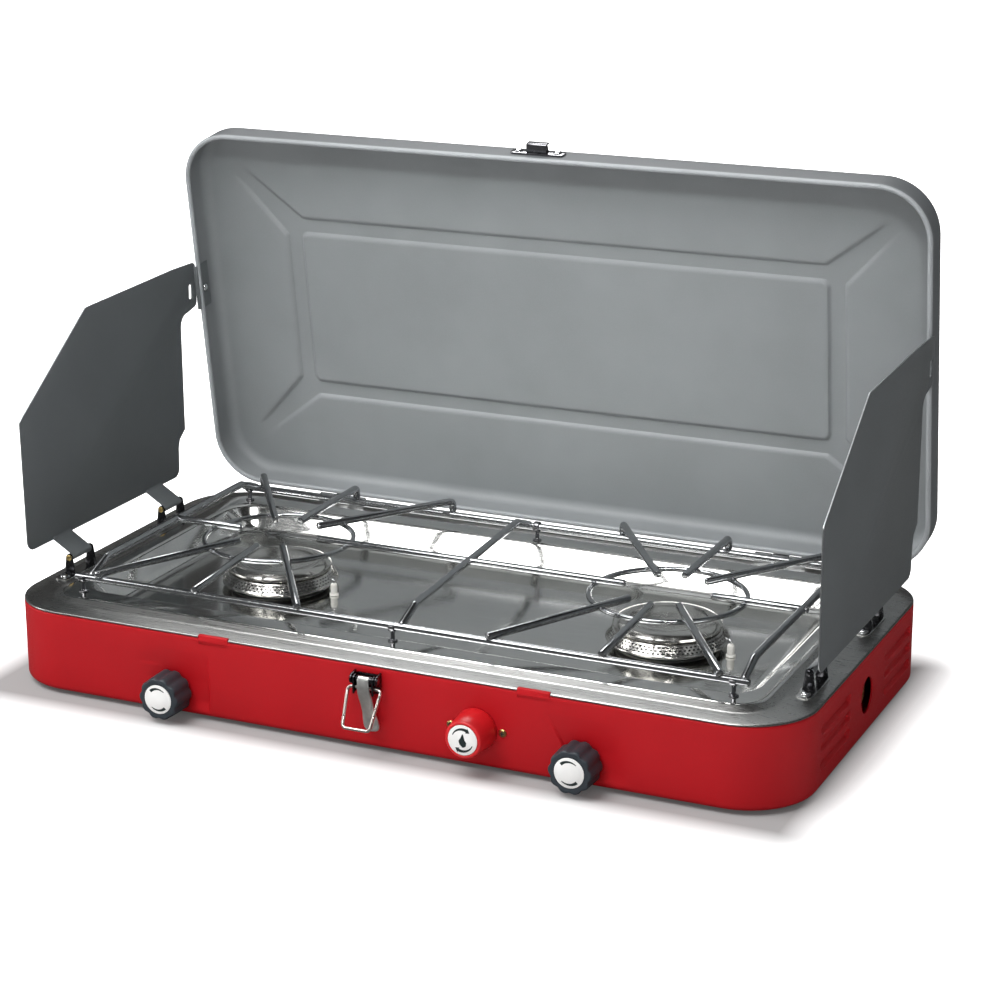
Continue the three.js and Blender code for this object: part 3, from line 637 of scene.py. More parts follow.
def add_case():
    """The pressed case, with holes for the gas port, the two valve stems and the igniter."""
    foot = CASE["foot"]
    size = (CASE["half_x"] - foot, CASE["half_y"] - foot, CASE["corner"] - foot)
    columns = both_ways(spread([(0, 8), (KNOB["x"] - 33, 8), (KNOB["x"] + 33, 0.75), (size[0], 8)]))
    rows = both_ways(spread([(0, 6), (30, 6), (size[1] - size[2], 1.6)]))
    shape = Shape().add(tray(size, columns, rows, case_skirt(), press=press_case))
    case = make_object("base_case_look", shape, [CASE_RED], recalculate=False)
    thicken(case, CASE["wall"], inward=False)
    holes = Shape()
    port = circle(PORT["y"], PORT["z"], PORT["radius"], 48)
    holes.add(across_x(port, CASE["half_x"] - 6, CASE["half_x"] + 4))
    for side in (-1, 1):
        holes.add(across_y(circle(side * KNOB["x"], KNOB["z"], 6, 32), FRONT - 4, FRONT + 6))
    spark = middle("igniter_knob")
    holes.add(across_y(circle(spark.x, spark.z, 9, 32), FRONT - 4, FRONT + 6))
    cut(case, holes)
    finish_piece(case, "base_case")


TAB = {"x": 121, "half": 11.5, "reach": 2.4}


def add_case_tabs():
    """Two tongues of the front wall that hook back over the pan's flange."""
    top = CASE["top"] + 1.3
    path = rounded([(FRONT + 0.6, CASE["top"] - 5), (FRONT + 0.6, top), (FRONT + TAB["reach"], top)], 1.0)
    shape = Shape()
    for side in (-1, 1):
        x = side * TAB["x"]
        shape.add(across_x(ribbon(path, CASE["wall"]), x - TAB["half"], x + TAB["half"]))
    tabs = make_object("case_tabs", shape, [CASE_RED])
    soften(tabs, 0.35)
    attach(tabs, "base_case")


add_case()
add_case_tabs()


def add_feet():
    """Four low rubber feet, hollow above."""
    for side in SIDES:
        for end in ("front", "rear"):
            name = f"foot_{end}_{side}"
            low, high = span(name)
            x, y = (low.x + high.x) / 2, (low.y + high.y) / 2
            radius, height = (high.x - low.x) / 2, high.z - low.z
            profile = [(0, 0), (radius - 2, 0), (radius - 1.2, 0.3), (radius - 0.5, 1.2), (radius, height)]
            profile += [(3, height), (3, height - 1.2), (0, height - 1.2)]
            piece(name, Shape().add(turned(profile, (x, y, low.z))), RUBBER)


add_feet()

# ---- Pan -----------------------------------------------------------------------------------------
PAN = {"half_x": span("top_pan")[1].x, "half_y": span("top_pan")[1].y, "bead_top": span("top_pan")[1].z}
PAN["flange"] = CASE["top"] + 1.3
PAN["sheet"] = 0.8
RECESS = {"half_x": 258, "half_y": 116, "floor": 46, "slope": 15, "corner": 24}
BEAD = {"half_x": 275, "half_y": 140.5, "corner": 28, "slope": 8}
RIM_RINGS = 14  # how many of the section's outer rings take the rim's finish
BURNER_HOLE = 32


def pan_stations():
    """The pan's section from its floor outwards, as (half width, half depth, corner radius, height)."""
    slope, rise = RECESS["slope"], BEAD["slope"]
    floor_x, floor_y = RECESS["half_x"] - slope, RECESS["half_y"] - slope
    points = [
        Vector((floor_x - 8, floor_y - 8, 8, RECESS["floor"])),
        Vector((floor_x, floor_y, 14, RECESS["floor"])),
        Vector((RECESS["half_x"] - 1.5, RECESS["half_y"] - 1.5, RECESS["corner"], PAN["bead_top"])),
        Vector((BEAD["half_x"] - rise, BEAD["half_y"] - rise, BEAD["corner"] - rise, PAN["bead_top"])),
        Vector((BEAD["half_x"], BEAD["half_y"], BEAD["corner"], PAN["flange"] + 1.0)),
        Vector((PAN["half_x"], PAN["half_y"], CASE["corner"], PAN["flange"] - 0.3)),
        Vector((PAN["half_x"] + 0.1, PAN["half_y"] + 0.1, CASE["corner"], PAN["flange"] - 1.5)),
    ]
    reach = {1: 7, 2: 3.2, 3: 1.6, 4: 1.4, 5: 1.2}
    made = [points[0]]
    for i, corner in enumerate(points[1:-1], start=1):
        before, after = points[i - 1], points[i + 1]

        def towards(other):
            gap = Vector((other.y - corner.y, other.w - corner.w)).length
            return corner.lerp(other, min(reach[i] / gap, 0.85))

        start, end = towards(before), towards(after)
        made += [start.lerp(corner, t / 5).lerp(corner.lerp(end, t / 5), t / 5) for t in range(6)]
    made.append(points[-1])
    return made


def rounded_rectangle(half_x, half_y, corner, steps=14, straight=10):
    """Points round a rounded rectangle, with the same count for every size."""
    made = []
    for quarter, (sx, sy) in enumerate([(1, 1), (-1, 1), (-1, -1), (1, -1)]):
        centre_x, centre_y = sx * (half_x - corner), sy * (half_y - corner)
        turn = arc(centre_x, centre_y, corner, 90 * quarter, 90 * quarter + 90, steps)
        made += turn
        next_x = -centre_x if quarter % 2 == 0 else centre_x
        next_y = centre_y if quarter % 2 == 0 else -centre_y
        offset = Vector(turn[-1]) - Vector((centre_x, centre_y))
        start, end = Vector(turn[-1]), Vector((next_x, next_y)) + offset
        made += [tuple(start.lerp(end, i / straight)) for i in range(1, straight)]
    return made


def add_pan():
    """The pressed pan, notched for the case's tabs and open under each burner."""
    stations = pan_stations()
    rings = []
    for half_x, half_y, corner, height in stations:
        rings.append([Vector((x, y, height)) for x, y in rounded_rectangle(half_x, half_y, corner)])
    points, faces = loft(rings)
    open_faces = faces[:-1]
    shape = Shape().add((points, open_faces))
    first_rim = len(rings[0]) * (len(rings) - RIM_RINGS)
    shape.slots = [1 if first_rim <= i < len(open_faces) - 1 else 0 for i in range(len(open_faces))]
    pan = make_object("top_pan_look", shape, [PAN_STEEL, PAN_RIM], recalculate=False)
    flip_if_down(pan)
    thicken(pan, PAN["sheet"], inward=True)
    holes = Shape()
    for side in (-1, 1):
        hole = circle(side * BURNER_X, 0, BURNER_HOLE, 64)
        holes.add(across_z(hole, RECESS["floor"] - 4, RECESS["floor"] + 3))
        x, reach = side * TAB["x"], TAB["half"] + 0.6
        low = (x - reach, FRONT - 2, CASE["top"] - 2)
        high = (x + reach, FRONT + 1.8, CASE["tab_top"] + 2)
        holes.add(rounded_box(low, high))
    cut(pan, holes)
    finish_piece(pan, "top_pan")


add_pan()

# ---- Burners -------------------------------------------------------------------------------------
SEAT = span("burner_body_right")[1].z - 2.5


def perforated_band(centre, lower, upper, around=76, rows=3, hole=0.30, depth=0.8):
    """A cone between two (radius, height) pairs with rows of small pits: its skin, and the pits' insides."""
    skin_points, skin_faces, pit_points, pit_faces = [], [], [], []
    (r0, z0), (r1, z1) = lower, upper

    def spot(u, v, inwards=0.0):
        angle = 2 * math.pi * u / around
        radius = r0 + (r1 - r0) * v / rows - inwards
        height = z0 + (z1 - z0) * v / rows
        return Vector(centre) + Vector((radius * math.cos(angle), radius * math.sin(angle), height))

    square = [(0, 0), (0.5, 0), (1, 0), (1, 0.5), (1, 1), (0.5, 1), (0, 1), (0, 0.5)]
    for row in range(rows):
        for k in range(around):
            shift = 0.5 * (row % 2)
            start = len(skin_points)
            skin_points += [spot(k + shift + a, row + b) for a, b in square]
            round_hole = [math.atan2(b - 0.5, a - 0.5) for a, b in square]
            rim = [(0.5 + hole * math.cos(t), 0.5 + hole * math.sin(t)) for t in round_hole]
            skin_points += [spot(k + shift + a, row + b) for a, b in rim]
            pit_start = len(pit_points)
            pit_points += [spot(k + shift + a, row + b) for a, b in rim]
            pit_points += [spot(k + shift + a, row + b, depth) for a, b in rim]
            for i in range(8):
                j = (i + 1) % 8
                skin_faces.append((start + i, start + j, start + 8 + j, start + 8 + i))
                pit_faces.append((pit_start + i, pit_start + j, pit_start + 8 + j, pit_start + 8 + i))
            pit_faces.append(tuple(pit_start + 8 + i for i in range(8)))
    return (skin_points, skin_faces), (pit_points, pit_faces)


def add_flame_ring(side, centre):
    """The burner's lower ring: a lip and a band of small flame ports round an open middle."""
    ring = Shape()
    lip_top, band_top = (42.6, 5.6), (38.9, 11.0)
    skin, pits = perforated_band(centre, lip_top, band_top)
    ring.add(skin, 0)
    # The pits' insides are painted near-black as the shade in the flame ports.
    ring.add(pits, 1)
    lip = [(43.3, 5.2), (43.6, 4.5), (43.2, 3.8), (42.0, 3.4), (36, 3.2), (29, 3.2)]
    inner = [(29, 12.1), (36.2, 12.1), (37.6, 12.0), (38.5, 11.6)]
    points, faces = turned([lip_top, *lip, *inner, band_top], centre, segments=152)
    ring.add((points, faces[:-2]), 0)
    piece(f"flame_ring_{side}", ring, BURNER_STEEL, HOLE_SHADE)


def add_burner_cap(side, centre):
    """The dished cap that sits on the flame ring."""
    cap = [(0, 4.2), (24, 4.2), (24, 12.4), (35.6, 12.4), (38.0, 12.9), (38.8, 14.0), (38.6, 15.3)]
    cap += [(37.0, 16.8), (34.0, 18.0), (30.5, 18.6), (28.2, 18.4), (26.6, 17.6), (24, 16.5)]
    cap += [(17, 15.7), (8, 15.4), (3, 15.3), (2.2, 14.7), (0, 14.6)]
    piece(f"burner_cap_{side}", Shape().add(turned(cap, centre, segments=72)), BURNER_STEEL)


def add_electrode(side, centre):
    """The ceramic sleeve beside the burner, with the spark wire bent towards the flame ports."""
    high = span(f"spark_electrode_{side}")[1]
    foot = Vector((high.x - 2.6, -8, SEAT))
    sleeve = [(0, 0), (3.4, 0), (3.4, 1.4), (2.6, 1.8), (2.6, 7.2), (2.2, 8.6), (1.4, 9.2), (0, 9.2)]
    electrode = Shape().add(turned(sleeve, foot, segments=28), 0)
    tip = [foot + Vector((0, 0, 8)), foot + Vector((0, 0, 11.6)), (centre[0] + 44.5, -6, SEAT + 12)]
    electrode.add(tube(rounded(tip, 1.6), 0.7, 10), 1)
    piece(f"spark_electrode_{side}", electrode, CERAMIC, CHROME)


def add_burner_body(side, centre):
    """The cup under the cap, with the mixing tube that bends forward to the gas jet."""
    x = centre[0]
    cup = [(0, 28 - SEAT), (18, 28 - SEAT), (24, 31 - SEAT), (27.4, 36 - SEAT), (28, 0.2)]
    cup += [(36.4, 0.2), (36.9, 0.7), (36.4, 1.4), (30, 2.5), (0, 2.5)]
    body = Shape().add(turned(cup, centre))
    valve_z = middle(f"knob_{side}").z
    mouth_y = span(f"burner_body_{side}")[0].y
    route = rounded([(x, mouth_y, valve_z), (x, -40, valve_z), (x, -8, 32)], 30)
    body.add(tube(route, 7, 24))
    bell = [(5.6, 0), (7, -0.4), (8.4, 0), (8.4, 3), (7.2, 5), (5.6, 5)]
    body.add(turned(bell, (x, mouth_y, valve_z), (0, 1, 0), 32, loop=True))
    piece(f"burner_body_{side}", body, ALUMINIUM)


for side_name, side_sign in SIDES.items():
    burner_centre = (side_sign * BURNER_X, 0, SEAT)
    add_flame_ring(side_name, burner_centre)
    add_burner_cap(side_name, burner_centre)
    add_electrode(side_name, burner_centre)
    add_burner_body(side_name, burner_centre)

# ---- Knobs ---------------------------------------------------------------------------------------
LABEL_RADIUS = 10.5


def scalloped_ring(centre, radius, lobes, depth, steps=10):
    """A ring in a plane across Y whose radius dips between its lobes."""
    made = []
    for i in range(lobes * steps):
        angle = 2 * math.pi * i / (lobes * steps)
        dip = (0.5 - 0.5 * math.cos(lobes * angle)) ** 1.6
        r = radius - depth * dip
        made.append(centre + Vector((r * math.cos(angle), 0, r * math.sin(angle))))
    return made


def add_knob(side):
    """A scalloped gas knob with a shallow seat for its label."""
    low, high = span(f"knob_{side}")
    x, z, radius = (low.x + high.x) / 2, (low.z + high.z) / 2, (high.x - low.x) / 2
    face, back = low.y, high.y
    length = back - face
    seat = LABEL_RADIUS + 0.4
    sections = [
        (0, 0.97, 1.0),
        (0.8, 1.0, 1.0),
        (length * 0.5, 0.985, 1.0),
        (length - 1.6, 0.965, 1.0),
        (length - 0.7, 0.945, 0.9),
        (length - 0.15, 0.91, 0.7),
        (length, 0.86, 0.45),
        (length, 0.78, 0.1),
    ]
    rings = [
        scalloped_ring(Vector((x, back - along, z)), radius * share, 10, 1.3 * dip)
        for along, share, dip in sections
    ]
    rings += [
        scalloped_ring(Vector((x, face + deep, z)), r, 10, 0)
        for deep, r in ((0, seat + 0.5), (0.1, seat + 0.15), (0.9, seat), (0.9, 4))
    ]
    piece(f"knob_{side}", Shape().add(loft(rings)), SLATE)


def arc_mark(centre, radius, start, end, width, thickness, head=0.0):
    """A raised arc of ink on a disc that faces -Y, thinning to its start, with an arrow head at its end."""
    steps = 14
    outer, inner = [], []
    for i in range(steps + 1):
        t = i / steps
        angle = math.radians(start + (end - start) * t)
        half = width * (0.25 + 0.75 * t) / 2
        outer.append(((radius + half) * math.cos(angle), (radius + half) * math.sin(angle)))
        inner.append(((radius - half) * math.cos(angle), (radius - half) * math.sin(angle)))
    if head:
        way = math.radians(end + math.copysign(head / radius * 57.3, end - start))
        last = math.radians(end)
        wing = width * 0.9
        outer.append(((radius + wing) * math.cos(last), (radius + wing) * math.sin(last)))
        outer.append((radius * math.cos(way), radius * math.sin(way)))
        outer.append(((radius - wing) * math.cos(last), (radius - wing) * math.sin(last)))
    outline = [(centre.x + a, centre.z + b) for a, b in outer + inner[::-1]]
    return across_y(outline, centre.y - thickness, centre.y + 0.2)


def disc_shape(low, high):
    """A thin disc that faces the cook, and the middle of its face."""
    centre = Vector(((low.x + high.x) / 2, low.y, (low.z + high.z) / 2))
    profile = [(0, 0.7), (LABEL_RADIUS, 0.7), (LABEL_RADIUS, 0.15), (LABEL_RADIUS - 0.2, 0), (0, 0)]
    return Shape().add(turned(profile, centre, (0, 1, 0))), centre


INK = 0.04


def add_knob_label(side):
    """A white disc with two plain dark arcs, one over and one under its middle."""
    shape, centre = disc_shape(*span(f"knob_label_{side}"))
    for turn in (0, 180):
        shape.add(arc_mark(centre, 7.9, turn + 50, turn + 136, 2.2, INK), 1)
    piece(f"knob_label_{side}", shape, LABEL_WHITE, LABEL_INK)


def add_igniter_knob():
    """The smooth red knob, which narrows to its face and holds the label in a shallow seat."""
    low, high = span("igniter_knob")
    x, z, radius = (low.x + high.x) / 2, (low.z + high.z) / 2, (high.x - low.x) / 2
    length = high.y - low.y
    front = radius - 2
    seat = LABEL_RADIUS + 0.4
    profile = [(0, 0), (radius - 0.3, 0), (radius, 0.5), (radius - 0.4, 4), (front + 0.4, length - 2.2)]
    profile += [(front - 0.1, length - 0.9), (front - 0.7, length - 0.2), (front - 1.3, length)]
    profile += [(seat + 0.3, length), (seat, length - 0.3), (seat, length - 0.9), (0, length - 0.9)]
    piece("igniter_knob", Shape().add(turned(profile, (x, high.y, z), (0, -1, 0), 64)), KNOB_RED)


def add_igniter_label():
    """A white disc with a flame between two plain turning arrows."""
    shape, centre = disc_shape(*span("igniter_label"))
    for turn in (0, 180):
        shape.add(arc_mark(centre, 7.7, turn + 158, turn + 68, 2.2, INK, head=2.8), 1)
    flame = [(0.2, 5.4), (-1.4, 1.4), (-2.8, -0.6), (-2.1, -3.1)]
    flame += [(0.2, -5.2), (2.5, -4.0), (2.8, -1.4), (1.6, 0.3)]
    outline = rounded(flame, 0.7, 3, closed=True)
    outline = [(centre.x + a, centre.z + b) for a, b in outline]
    shape.add(across_y(outline, centre.y - INK, centre.y + 0.2), 1)
    piece("igniter_label", shape, LABEL_WHITE, LABEL_INK)


def add_igniter_screws():
    """Two brass screw heads with a near-black cross, painted as the shade in the slots."""
    for side in SIDES:
        name = f"igniter_screw_{side}"
        spot = middle(name)
        screw = Shape().add(domed((spot.x, FRONT, spot.z), (0, -1, 0), 2.9, 1.7))
        for half_x, half_z in ((1.6, 0.35), (0.35, 1.6)):
            low = (spot.x - half_x, FRONT - 1.75, spot.z - half_z)
            high = (spot.x + half_x, FRONT - 1.0, spot.z + half_z)
            screw.add(rounded_box(low, high, 0.1), 1)
        piece(name, screw, BRASS, HOLE_SHADE)


for side_name in SIDES:
    add_knob(side_name)
    add_knob_label(side_name)
add_igniter_knob()
add_igniter_label()
add_igniter_screws()

# ---- Pot grate -----------------------------------------------------------------------------------
RAIL = {"y": 120, "z": 75.5, "half": 255.5, "radius": 2.7}
FINGER = {"z": 85.2, "front_z": 79.4, "front_y": 123, "rear_y": 124.6, "inner": 32, "radius": 2.8}
FINGER_ANGLES = (56, 90, 124)
RING = {"z": 81.5, "radius": 55.5, "wire": 2.0}
GRATE_BARS = ((-243, -243), (7, -4), (253, 253))
BAR_BENDS = (-99, 96)


def add_finger(grate, x, degrees):
    """Two fingers that point at a burner: the front one slopes to its rail, the rear one hooks over it."""
    slant = 1 / math.tan(math.radians(degrees))

    def at(y, z):
        return (x + abs(y) * slant, y, z)

    inner = FINGER["inner"] * math.sin(math.radians(degrees))
    grate.add(tube([at(-FINGER["front_y"], FINGER["front_z"]), at(-inner, FINGER["z"])], FINGER["radius"]))
    grate.add(weld(at(-RAIL["y"], RAIL["z"] + 2.6)))
    tip = FINGER["rear_y"]
    hook = [at(inner, FINGER["z"]), at(tip, FINGER["z"]), at(tip, RAIL["z"] + 1)]
    grate.add(tube(rounded(hook, 4), FINGER["radius"]))


def add_grate():
    """The pot grate: two rails, three cross bars, and a hoop with fingers and short bars over each burner."""
    grate = Shape()
    for y in (-RAIL["y"], RAIL["y"]):
        ends = [(-RAIL["half"], y, RAIL["z"]), (RAIL["half"] + 2, y, RAIL["z"])]
        grate.add(tube(ends, RAIL["radius"]))
    for front, rear in GRATE_BARS:
        path = [
            (front, -RAIL["y"], RAIL["z"] + 1),
            (front, BAR_BENDS[0], FINGER["z"]),
            (rear, BAR_BENDS[1], FINGER["z"]),
            (rear, RAIL["y"], RAIL["z"] + 1),
        ]
        grate.add(tube(rounded(path, 6), FINGER["radius"]))
        for x, y in ((front, -RAIL["y"]), (rear, RAIL["y"])):
            grate.add(weld((x, y * 0.99, RAIL["z"] + 1.2)))
    for side in (-1, 1):
        x = side * BURNER_X
        for degrees in FINGER_ANGLES:
            add_finger(grate, x, degrees)
        hoop = [(x + a, b, RING["z"]) for a, b in circle(0, 0, RING["radius"], 72)]
        grate.add(tube(hoop, RING["wire"], closed=True))
    near, far = BURNER_X - FINGER["inner"], BURNER_X + FINGER["inner"]
    left, right = GRATE_BARS[0][0] - 4, GRATE_BARS[2][0] + 4
    for start, end in ((-near, near), (left, -far), (far, right)):
        grate.add(tube([(start, 0, FINGER["z"]), (end, 0, FINGER["z"])], FINGER["radius"]))
    piece("pot_grate", grate, GRATE_WIRE)


def weld(spot):
    """A bright bead of weld metal where two wires meet."""
    bead = [(2.7 * math.sin(math.radians(a)), -1.9 * math.cos(math.radians(a))) for a in range(0, 181, 20)]
    return turned(bead, spot, segments=16)


def add_clips():
    """Spring clips for the front rail and closed eyes for the rear rail, each riveted to the bead."""
    for place_name in ("left", "centre", "right"):
        for end in ("front", "rear"):
            name = f"grate_clip_{end}_{place_name}"
            low, high = span(name)
            x = (low.x + high.x) / 2
            way = -1 if end == "front" else 1
            y, z = way * RAIL["y"], RAIL["z"]
            reach = RAIL["radius"] + 0.9
            shape = Shape()
            if end == "front":
                path = [(y - reach - 0.5, z + 1.4), (y - reach, z + 0.4)]
                path += arc(y, z, reach, 180, 360, 12)
                path += [(y + reach, z + 0.4), (y + reach + 0.5, z + 1.4)]
                shape.add(across_x(ribbon(path, 0.8), low.x, high.x))
            else:
                half = (high.x - low.x) / 2
                inner, outer = reach - 0.5, reach + 0.5
                section = [(inner, -half), (outer, -half), (outer, half), (inner, half)]
                shape.add(turned(section, (x, y, z), (1, 0, 0), 32, loop=True))
            base = PAN["bead_top"] + 0.1
            post = [(0, 0), (3.4, 0), (3.4, 0.7), (2.0, 1.2), (1.5, 2.0), (1.5, z - reach - base - 0.2)]
            post.append((0, z - reach - base - 0.2))
            shape.add(turned(post, (x, y, base), segments=20))
            piece(name, shape, DARK_CHROME, bevel=0.15)


add_grate()
add_clips()

# ---- Lid -----------------------------------------------------------------------------------------
HINGE = middle("lid_hinge_pin")
OPEN = -sum(j["range_deg"][0] for j in frame["joints"] if j["name"] in ("lid_pin_turn", "lid_swing"))
SWING = Matrix.Translation(HINGE) @ Matrix.Rotation(math.radians(-OPEN), 4, "X")
# The lid is drawn closed, from the hinge's axis: x across, -y towards the front, z up.
LID = {"half_x": 299, "near": 3.5, "far": 298.1, "rim": -0.8, "top": 28.2}
LID |= {"corner": 40, "edge": 9, "roll": 1.9}
LID["middle"] = (LID["near"] + LID["far"]) / 2
LID["half_y"] = (LID["far"] - LID["near"]) / 2
FRAME_IN = {"half_x": 214.5, "half_y": 62, "corner": 5}
FRAME_OUT = {"half_x": 228.5, "half_y": 75.2, "corner": 2}
CHANNEL_START, CHANNEL_END = Vector((220.7, 67.5)), Vector((261.5, 105.0))
CHANNEL = {"start": 10.9, "end": 6.0, "depth": 2.5}


def box_distance(a, b, box):
    """How far a point lies outside a rounded rectangle about the origin, and negative inside it."""
    over_x = a - box["half_x"] + box["corner"]
    over_y = b - box["half_y"] + box["corner"]
    outside = math.hypot(max(over_x, 0), max(over_y, 0))
    return outside + min(max(over_x, over_y), 0) - box["corner"]


def lid_panel(x, y):
    """Height of the lid's outer face: a frame-shaped channel pressed outwards, with an arm to each corner."""
    a, b = abs(x), abs(y)
    run = CHANNEL_END - CHANNEL_START
    offset = Vector((a, b)) - CHANNEL_START
    along = offset.dot(run) / run.length_squared
    aside = abs(offset.cross(run)) / run.length
    half = CHANNEL["start"] + (CHANNEL["end"] - CHANNEL["start"]) * min(max(along, 0), 1)
    fade = smooth_step(1.0 - along, 0.32) * smooth_step(along + 0.25, 0.1)
    arm = smooth_step(half - aside, 1.1) * fade
    frame_band = smooth_step(-box_distance(a, b, FRAME_OUT), 1.3)
    middle_field = smooth_step(box_distance(a, b, FRAME_IN), 1.3)
    return LID["top"] + CHANNEL["depth"] * max(arm, frame_band) * middle_field


def lid_skirt():
    """The lid's section from its panel's edge: a round shoulder, the side wall and a rolled rim."""
    edge, top, rim = LID["edge"], LID["top"], LID["rim"]
    profile = [(0, top)]
    for a in range(12, 91, 13):
        lean = math.radians(min(a, 90))
        profile.append((edge * math.sin(lean), top - edge * (1 - math.cos(lean))))
    profile += [(edge, z) for z in (14, 9, 5, rim + LID["roll"])]
    return profile


def add_lid():
    """The lid's sheet, painted darker outside as shade, and the rolled rim along its edge, painted lighter as
    a highlight.
    """
    size = (LID["half_x"] - LID["edge"], LID["half_y"] - LID["edge"], LID["corner"] - LID["edge"])
    columns = both_ways(spread([(0, 8), (206, 8), (270, 1.3), (size[0], 4)]))
    rows = both_ways(spread([(0, 8), (54, 8), (size[1] - size[2], 1.3)]))
    points, faces = tray(size, columns, rows, lid_skirt(), panel=lid_panel, corner_steps=18)
    lid_move = SWING @ Matrix.Translation((0, -LID["middle"], 0))
    shape = Shape().add((points, faces), move=lid_move)
    # The outer faces take the darker copy of the paint as painted shade; the inner faces keep the lid's grey.
    lid = make_object("lid_shell_look", shape, [LID_OUTSIDE_SHADE, LID_GREY], recalculate=False)
    thicken(lid, SHEET, inward=True, back_slot=1)
    roll = LID["roll"]
    outline = rounded_rectangle(LID["half_x"] - roll, LID["half_y"] - roll, LID["corner"] - roll, 18, 24)
    hem = tube([(x, y, LID["rim"] + roll) for x, y in outline], roll, 16, closed=True)
    # The rolled rim takes the lighter copy of the lid's paint as a painted highlight.
    rim = make_object("lid_rim", Shape().add(hem, move=lid_move), [LID_RIM_HIGHLIGHT])
    attach(rim, "lid_shell")
    finish_piece(lid, "lid_shell")


add_lid()


def add_catch():
    """A riveted plate on the lid's front wall, with a tongue bent out and up for the latch's bail."""
    y = -LID["far"] - 0.3
    shape = Shape()
    plate = rectangle(-21, 21, 6, 16, 3)
    shape.add(across_y(plate, y - 1.2, y), move=SWING)
    tongue = rounded([(y - 0.6, 8.2), (y - 7.6, 8.2), (y - 7.6, 13.6)], 1.6)
    shape.add(across_x(ribbon(tongue, 1.2), -8, 8), move=SWING)
    for side in (-1, 1):
        shape.add(domed((side * 15.5, y - 1.2, 11), (0, -1, 0), 3.2, 1.8), 1, move=SWING)
        gusset = [(y - 1, 8.6), (y - 7, 8.6), (y - 7, 11), (y - 1, 13)]
        shape.add(across_x(gusset, side * 7.4 - 0.5, side * 7.4 + 0.5), move=SWING)
    piece("lid_catch", shape, DARK_CHROME, CHROME, bevel=0.25)


def add_shield_clip(side, sign):
    """The bent clip that laps the lid's side rim, with the stud for the windshield's tab."""
    wall = LID["half_x"] - SHEET - 0.3
    near, far = -188.1, -152.1
    path = rounded([(wall - 0.5, 14.5), (wall - 0.5, -2.2), (LID["half_x"] + 0.5, -2.2)], 0.8)
    outline = [(sign * a, b) for a, b in ribbon(path, 0.9)]
    shape = Shape().add(across_y(outline, near, far), move=SWING)
    stud = (sign * (wall - 0.8), -168.1, 6.5)
    shape.add(domed(stud, (-sign, 0, 0), 3.0, 2.8), 1, move=SWING)
    piece(f"windshield_clip_{side}", shape, SHIELD_GREY, CHROME, bevel=0.2)


add_catch()
for side_name, side_sign in SIDES.items():
    add_shield_clip(side_name, side_sign)

# ---- Lid hinge -----------------------------------------------------------------------------------
BARREL = 3.0
CASE_BARRELS = ((-20, -7), (7, 20))
LID_BARREL = (-6.3, 6.3)
LEAF = {"half": 20, "lower_top": 59.6, "upper": (3.9, 19.5), "rivet": 12, "sheet": 1.2}


def barrel(x0, x1, centre):
    """A curled hinge knuckle round the pin."""
    profile = [(1.5, x0), (BARREL - 0.3, x0), (BARREL, x0 + 0.3)]
    profile += [(BARREL, x1 - 0.3), (BARREL - 0.3, x1), (1.5, x1)]
    return turned(profile, centre, (1, 0, 0), 32, loop=True)


def add_hinge(side):
    """A pair of hinge leaves: one riveted to the case's back wall and one to the lid's."""
    leaf_x = middle(f"case_hinge_leaf_{side}").x
    left, right = leaf_x - LEAF["half"], leaf_x + LEAF["half"]
    low, _ = span(f"case_hinge_leaf_{side}")
    near, far = low.y, low.y + LEAF["sheet"]
    lower = Shape().add(across_y(rectangle(left, right, low.z, LEAF["lower_top"], 3), near, far))
    for x0, x1 in CASE_BARRELS:
        lower.add(rounded_box((leaf_x + x0, near, 58), (leaf_x + x1, far, HINGE.z - 1.5), 0.2))
        lower.add(barrel(x0, x1, (leaf_x, HINGE.y, HINGE.z)))
    for way in (-1, 1):
        lower.add(domed((leaf_x + way * LEAF["rivet"], far, low.z + 9), (0, 1, 0), 2.8, 1.4))
    piece(f"case_hinge_leaf_{side}", lower, CHROME, bevel=0.2)

    near = -LID["near"] + 0.3
    far = near + LEAF["sheet"]
    x0, x1 = LID_BARREL
    upper = Shape().add(across_y(rectangle(left, right, *LEAF["upper"], 3), near, far), move=SWING)
    upper.add(rounded_box((leaf_x + x0, near, 1.5), (leaf_x + x1, far, 5), 0.2), move=SWING)
    upper.add(barrel(x0, x1, (leaf_x, 0, 0)), move=SWING)
    for way in (-1, 1):
        upper.add(domed((leaf_x + way * LEAF["rivet"], far, 12), (0, 1, 0), 2.8, 1.4), move=SWING)
    piece(f"lid_hinge_leaf_{side}", upper, CHROME, bevel=0.2)


def add_hinge_pin():
    low, high = span("lid_hinge_pin")
    ends = [(low.x, HINGE.y, HINGE.z), (high.x, HINGE.y, HINGE.z)]
    piece("lid_hinge_pin", Shape().add(tube(ends, 1.3, 16)), CHROME)


for side_name in SIDES:
    add_hinge(side_name)
add_hinge_pin()

# ---- Windshields ---------------------------------------------------------------------------------
SHIELD_INNER = 300.1
SHIELD_AXIS = Vector((285.3, 74))
SHIELD_HINGES = (-70, 58)
KNUCKLE = 2.8


def shield_outline():
    """The raised panel as (y, z): a cut-off front corner, a tab at the lid and rounded lower corners."""
    front_low = arc(-106, 93, 8, 270, 180)
    tab = [(132.5, 252.6), (133, 217)]
    under_tab = arc(118, 204, 10, 90, 180)
    rear_low = [(108, 121), (99.5, 114.5), (97.5, 108)] + arc(90, 92, 7, 0, -90)
    upper = rounded([(-114, 150), (-115, 184), (-24, 249), (100, 253), *tab, (118, 215)], 5, 5)[1:-1]
    return front_low + [tuple(p) for p in upper] + under_tab + rear_low


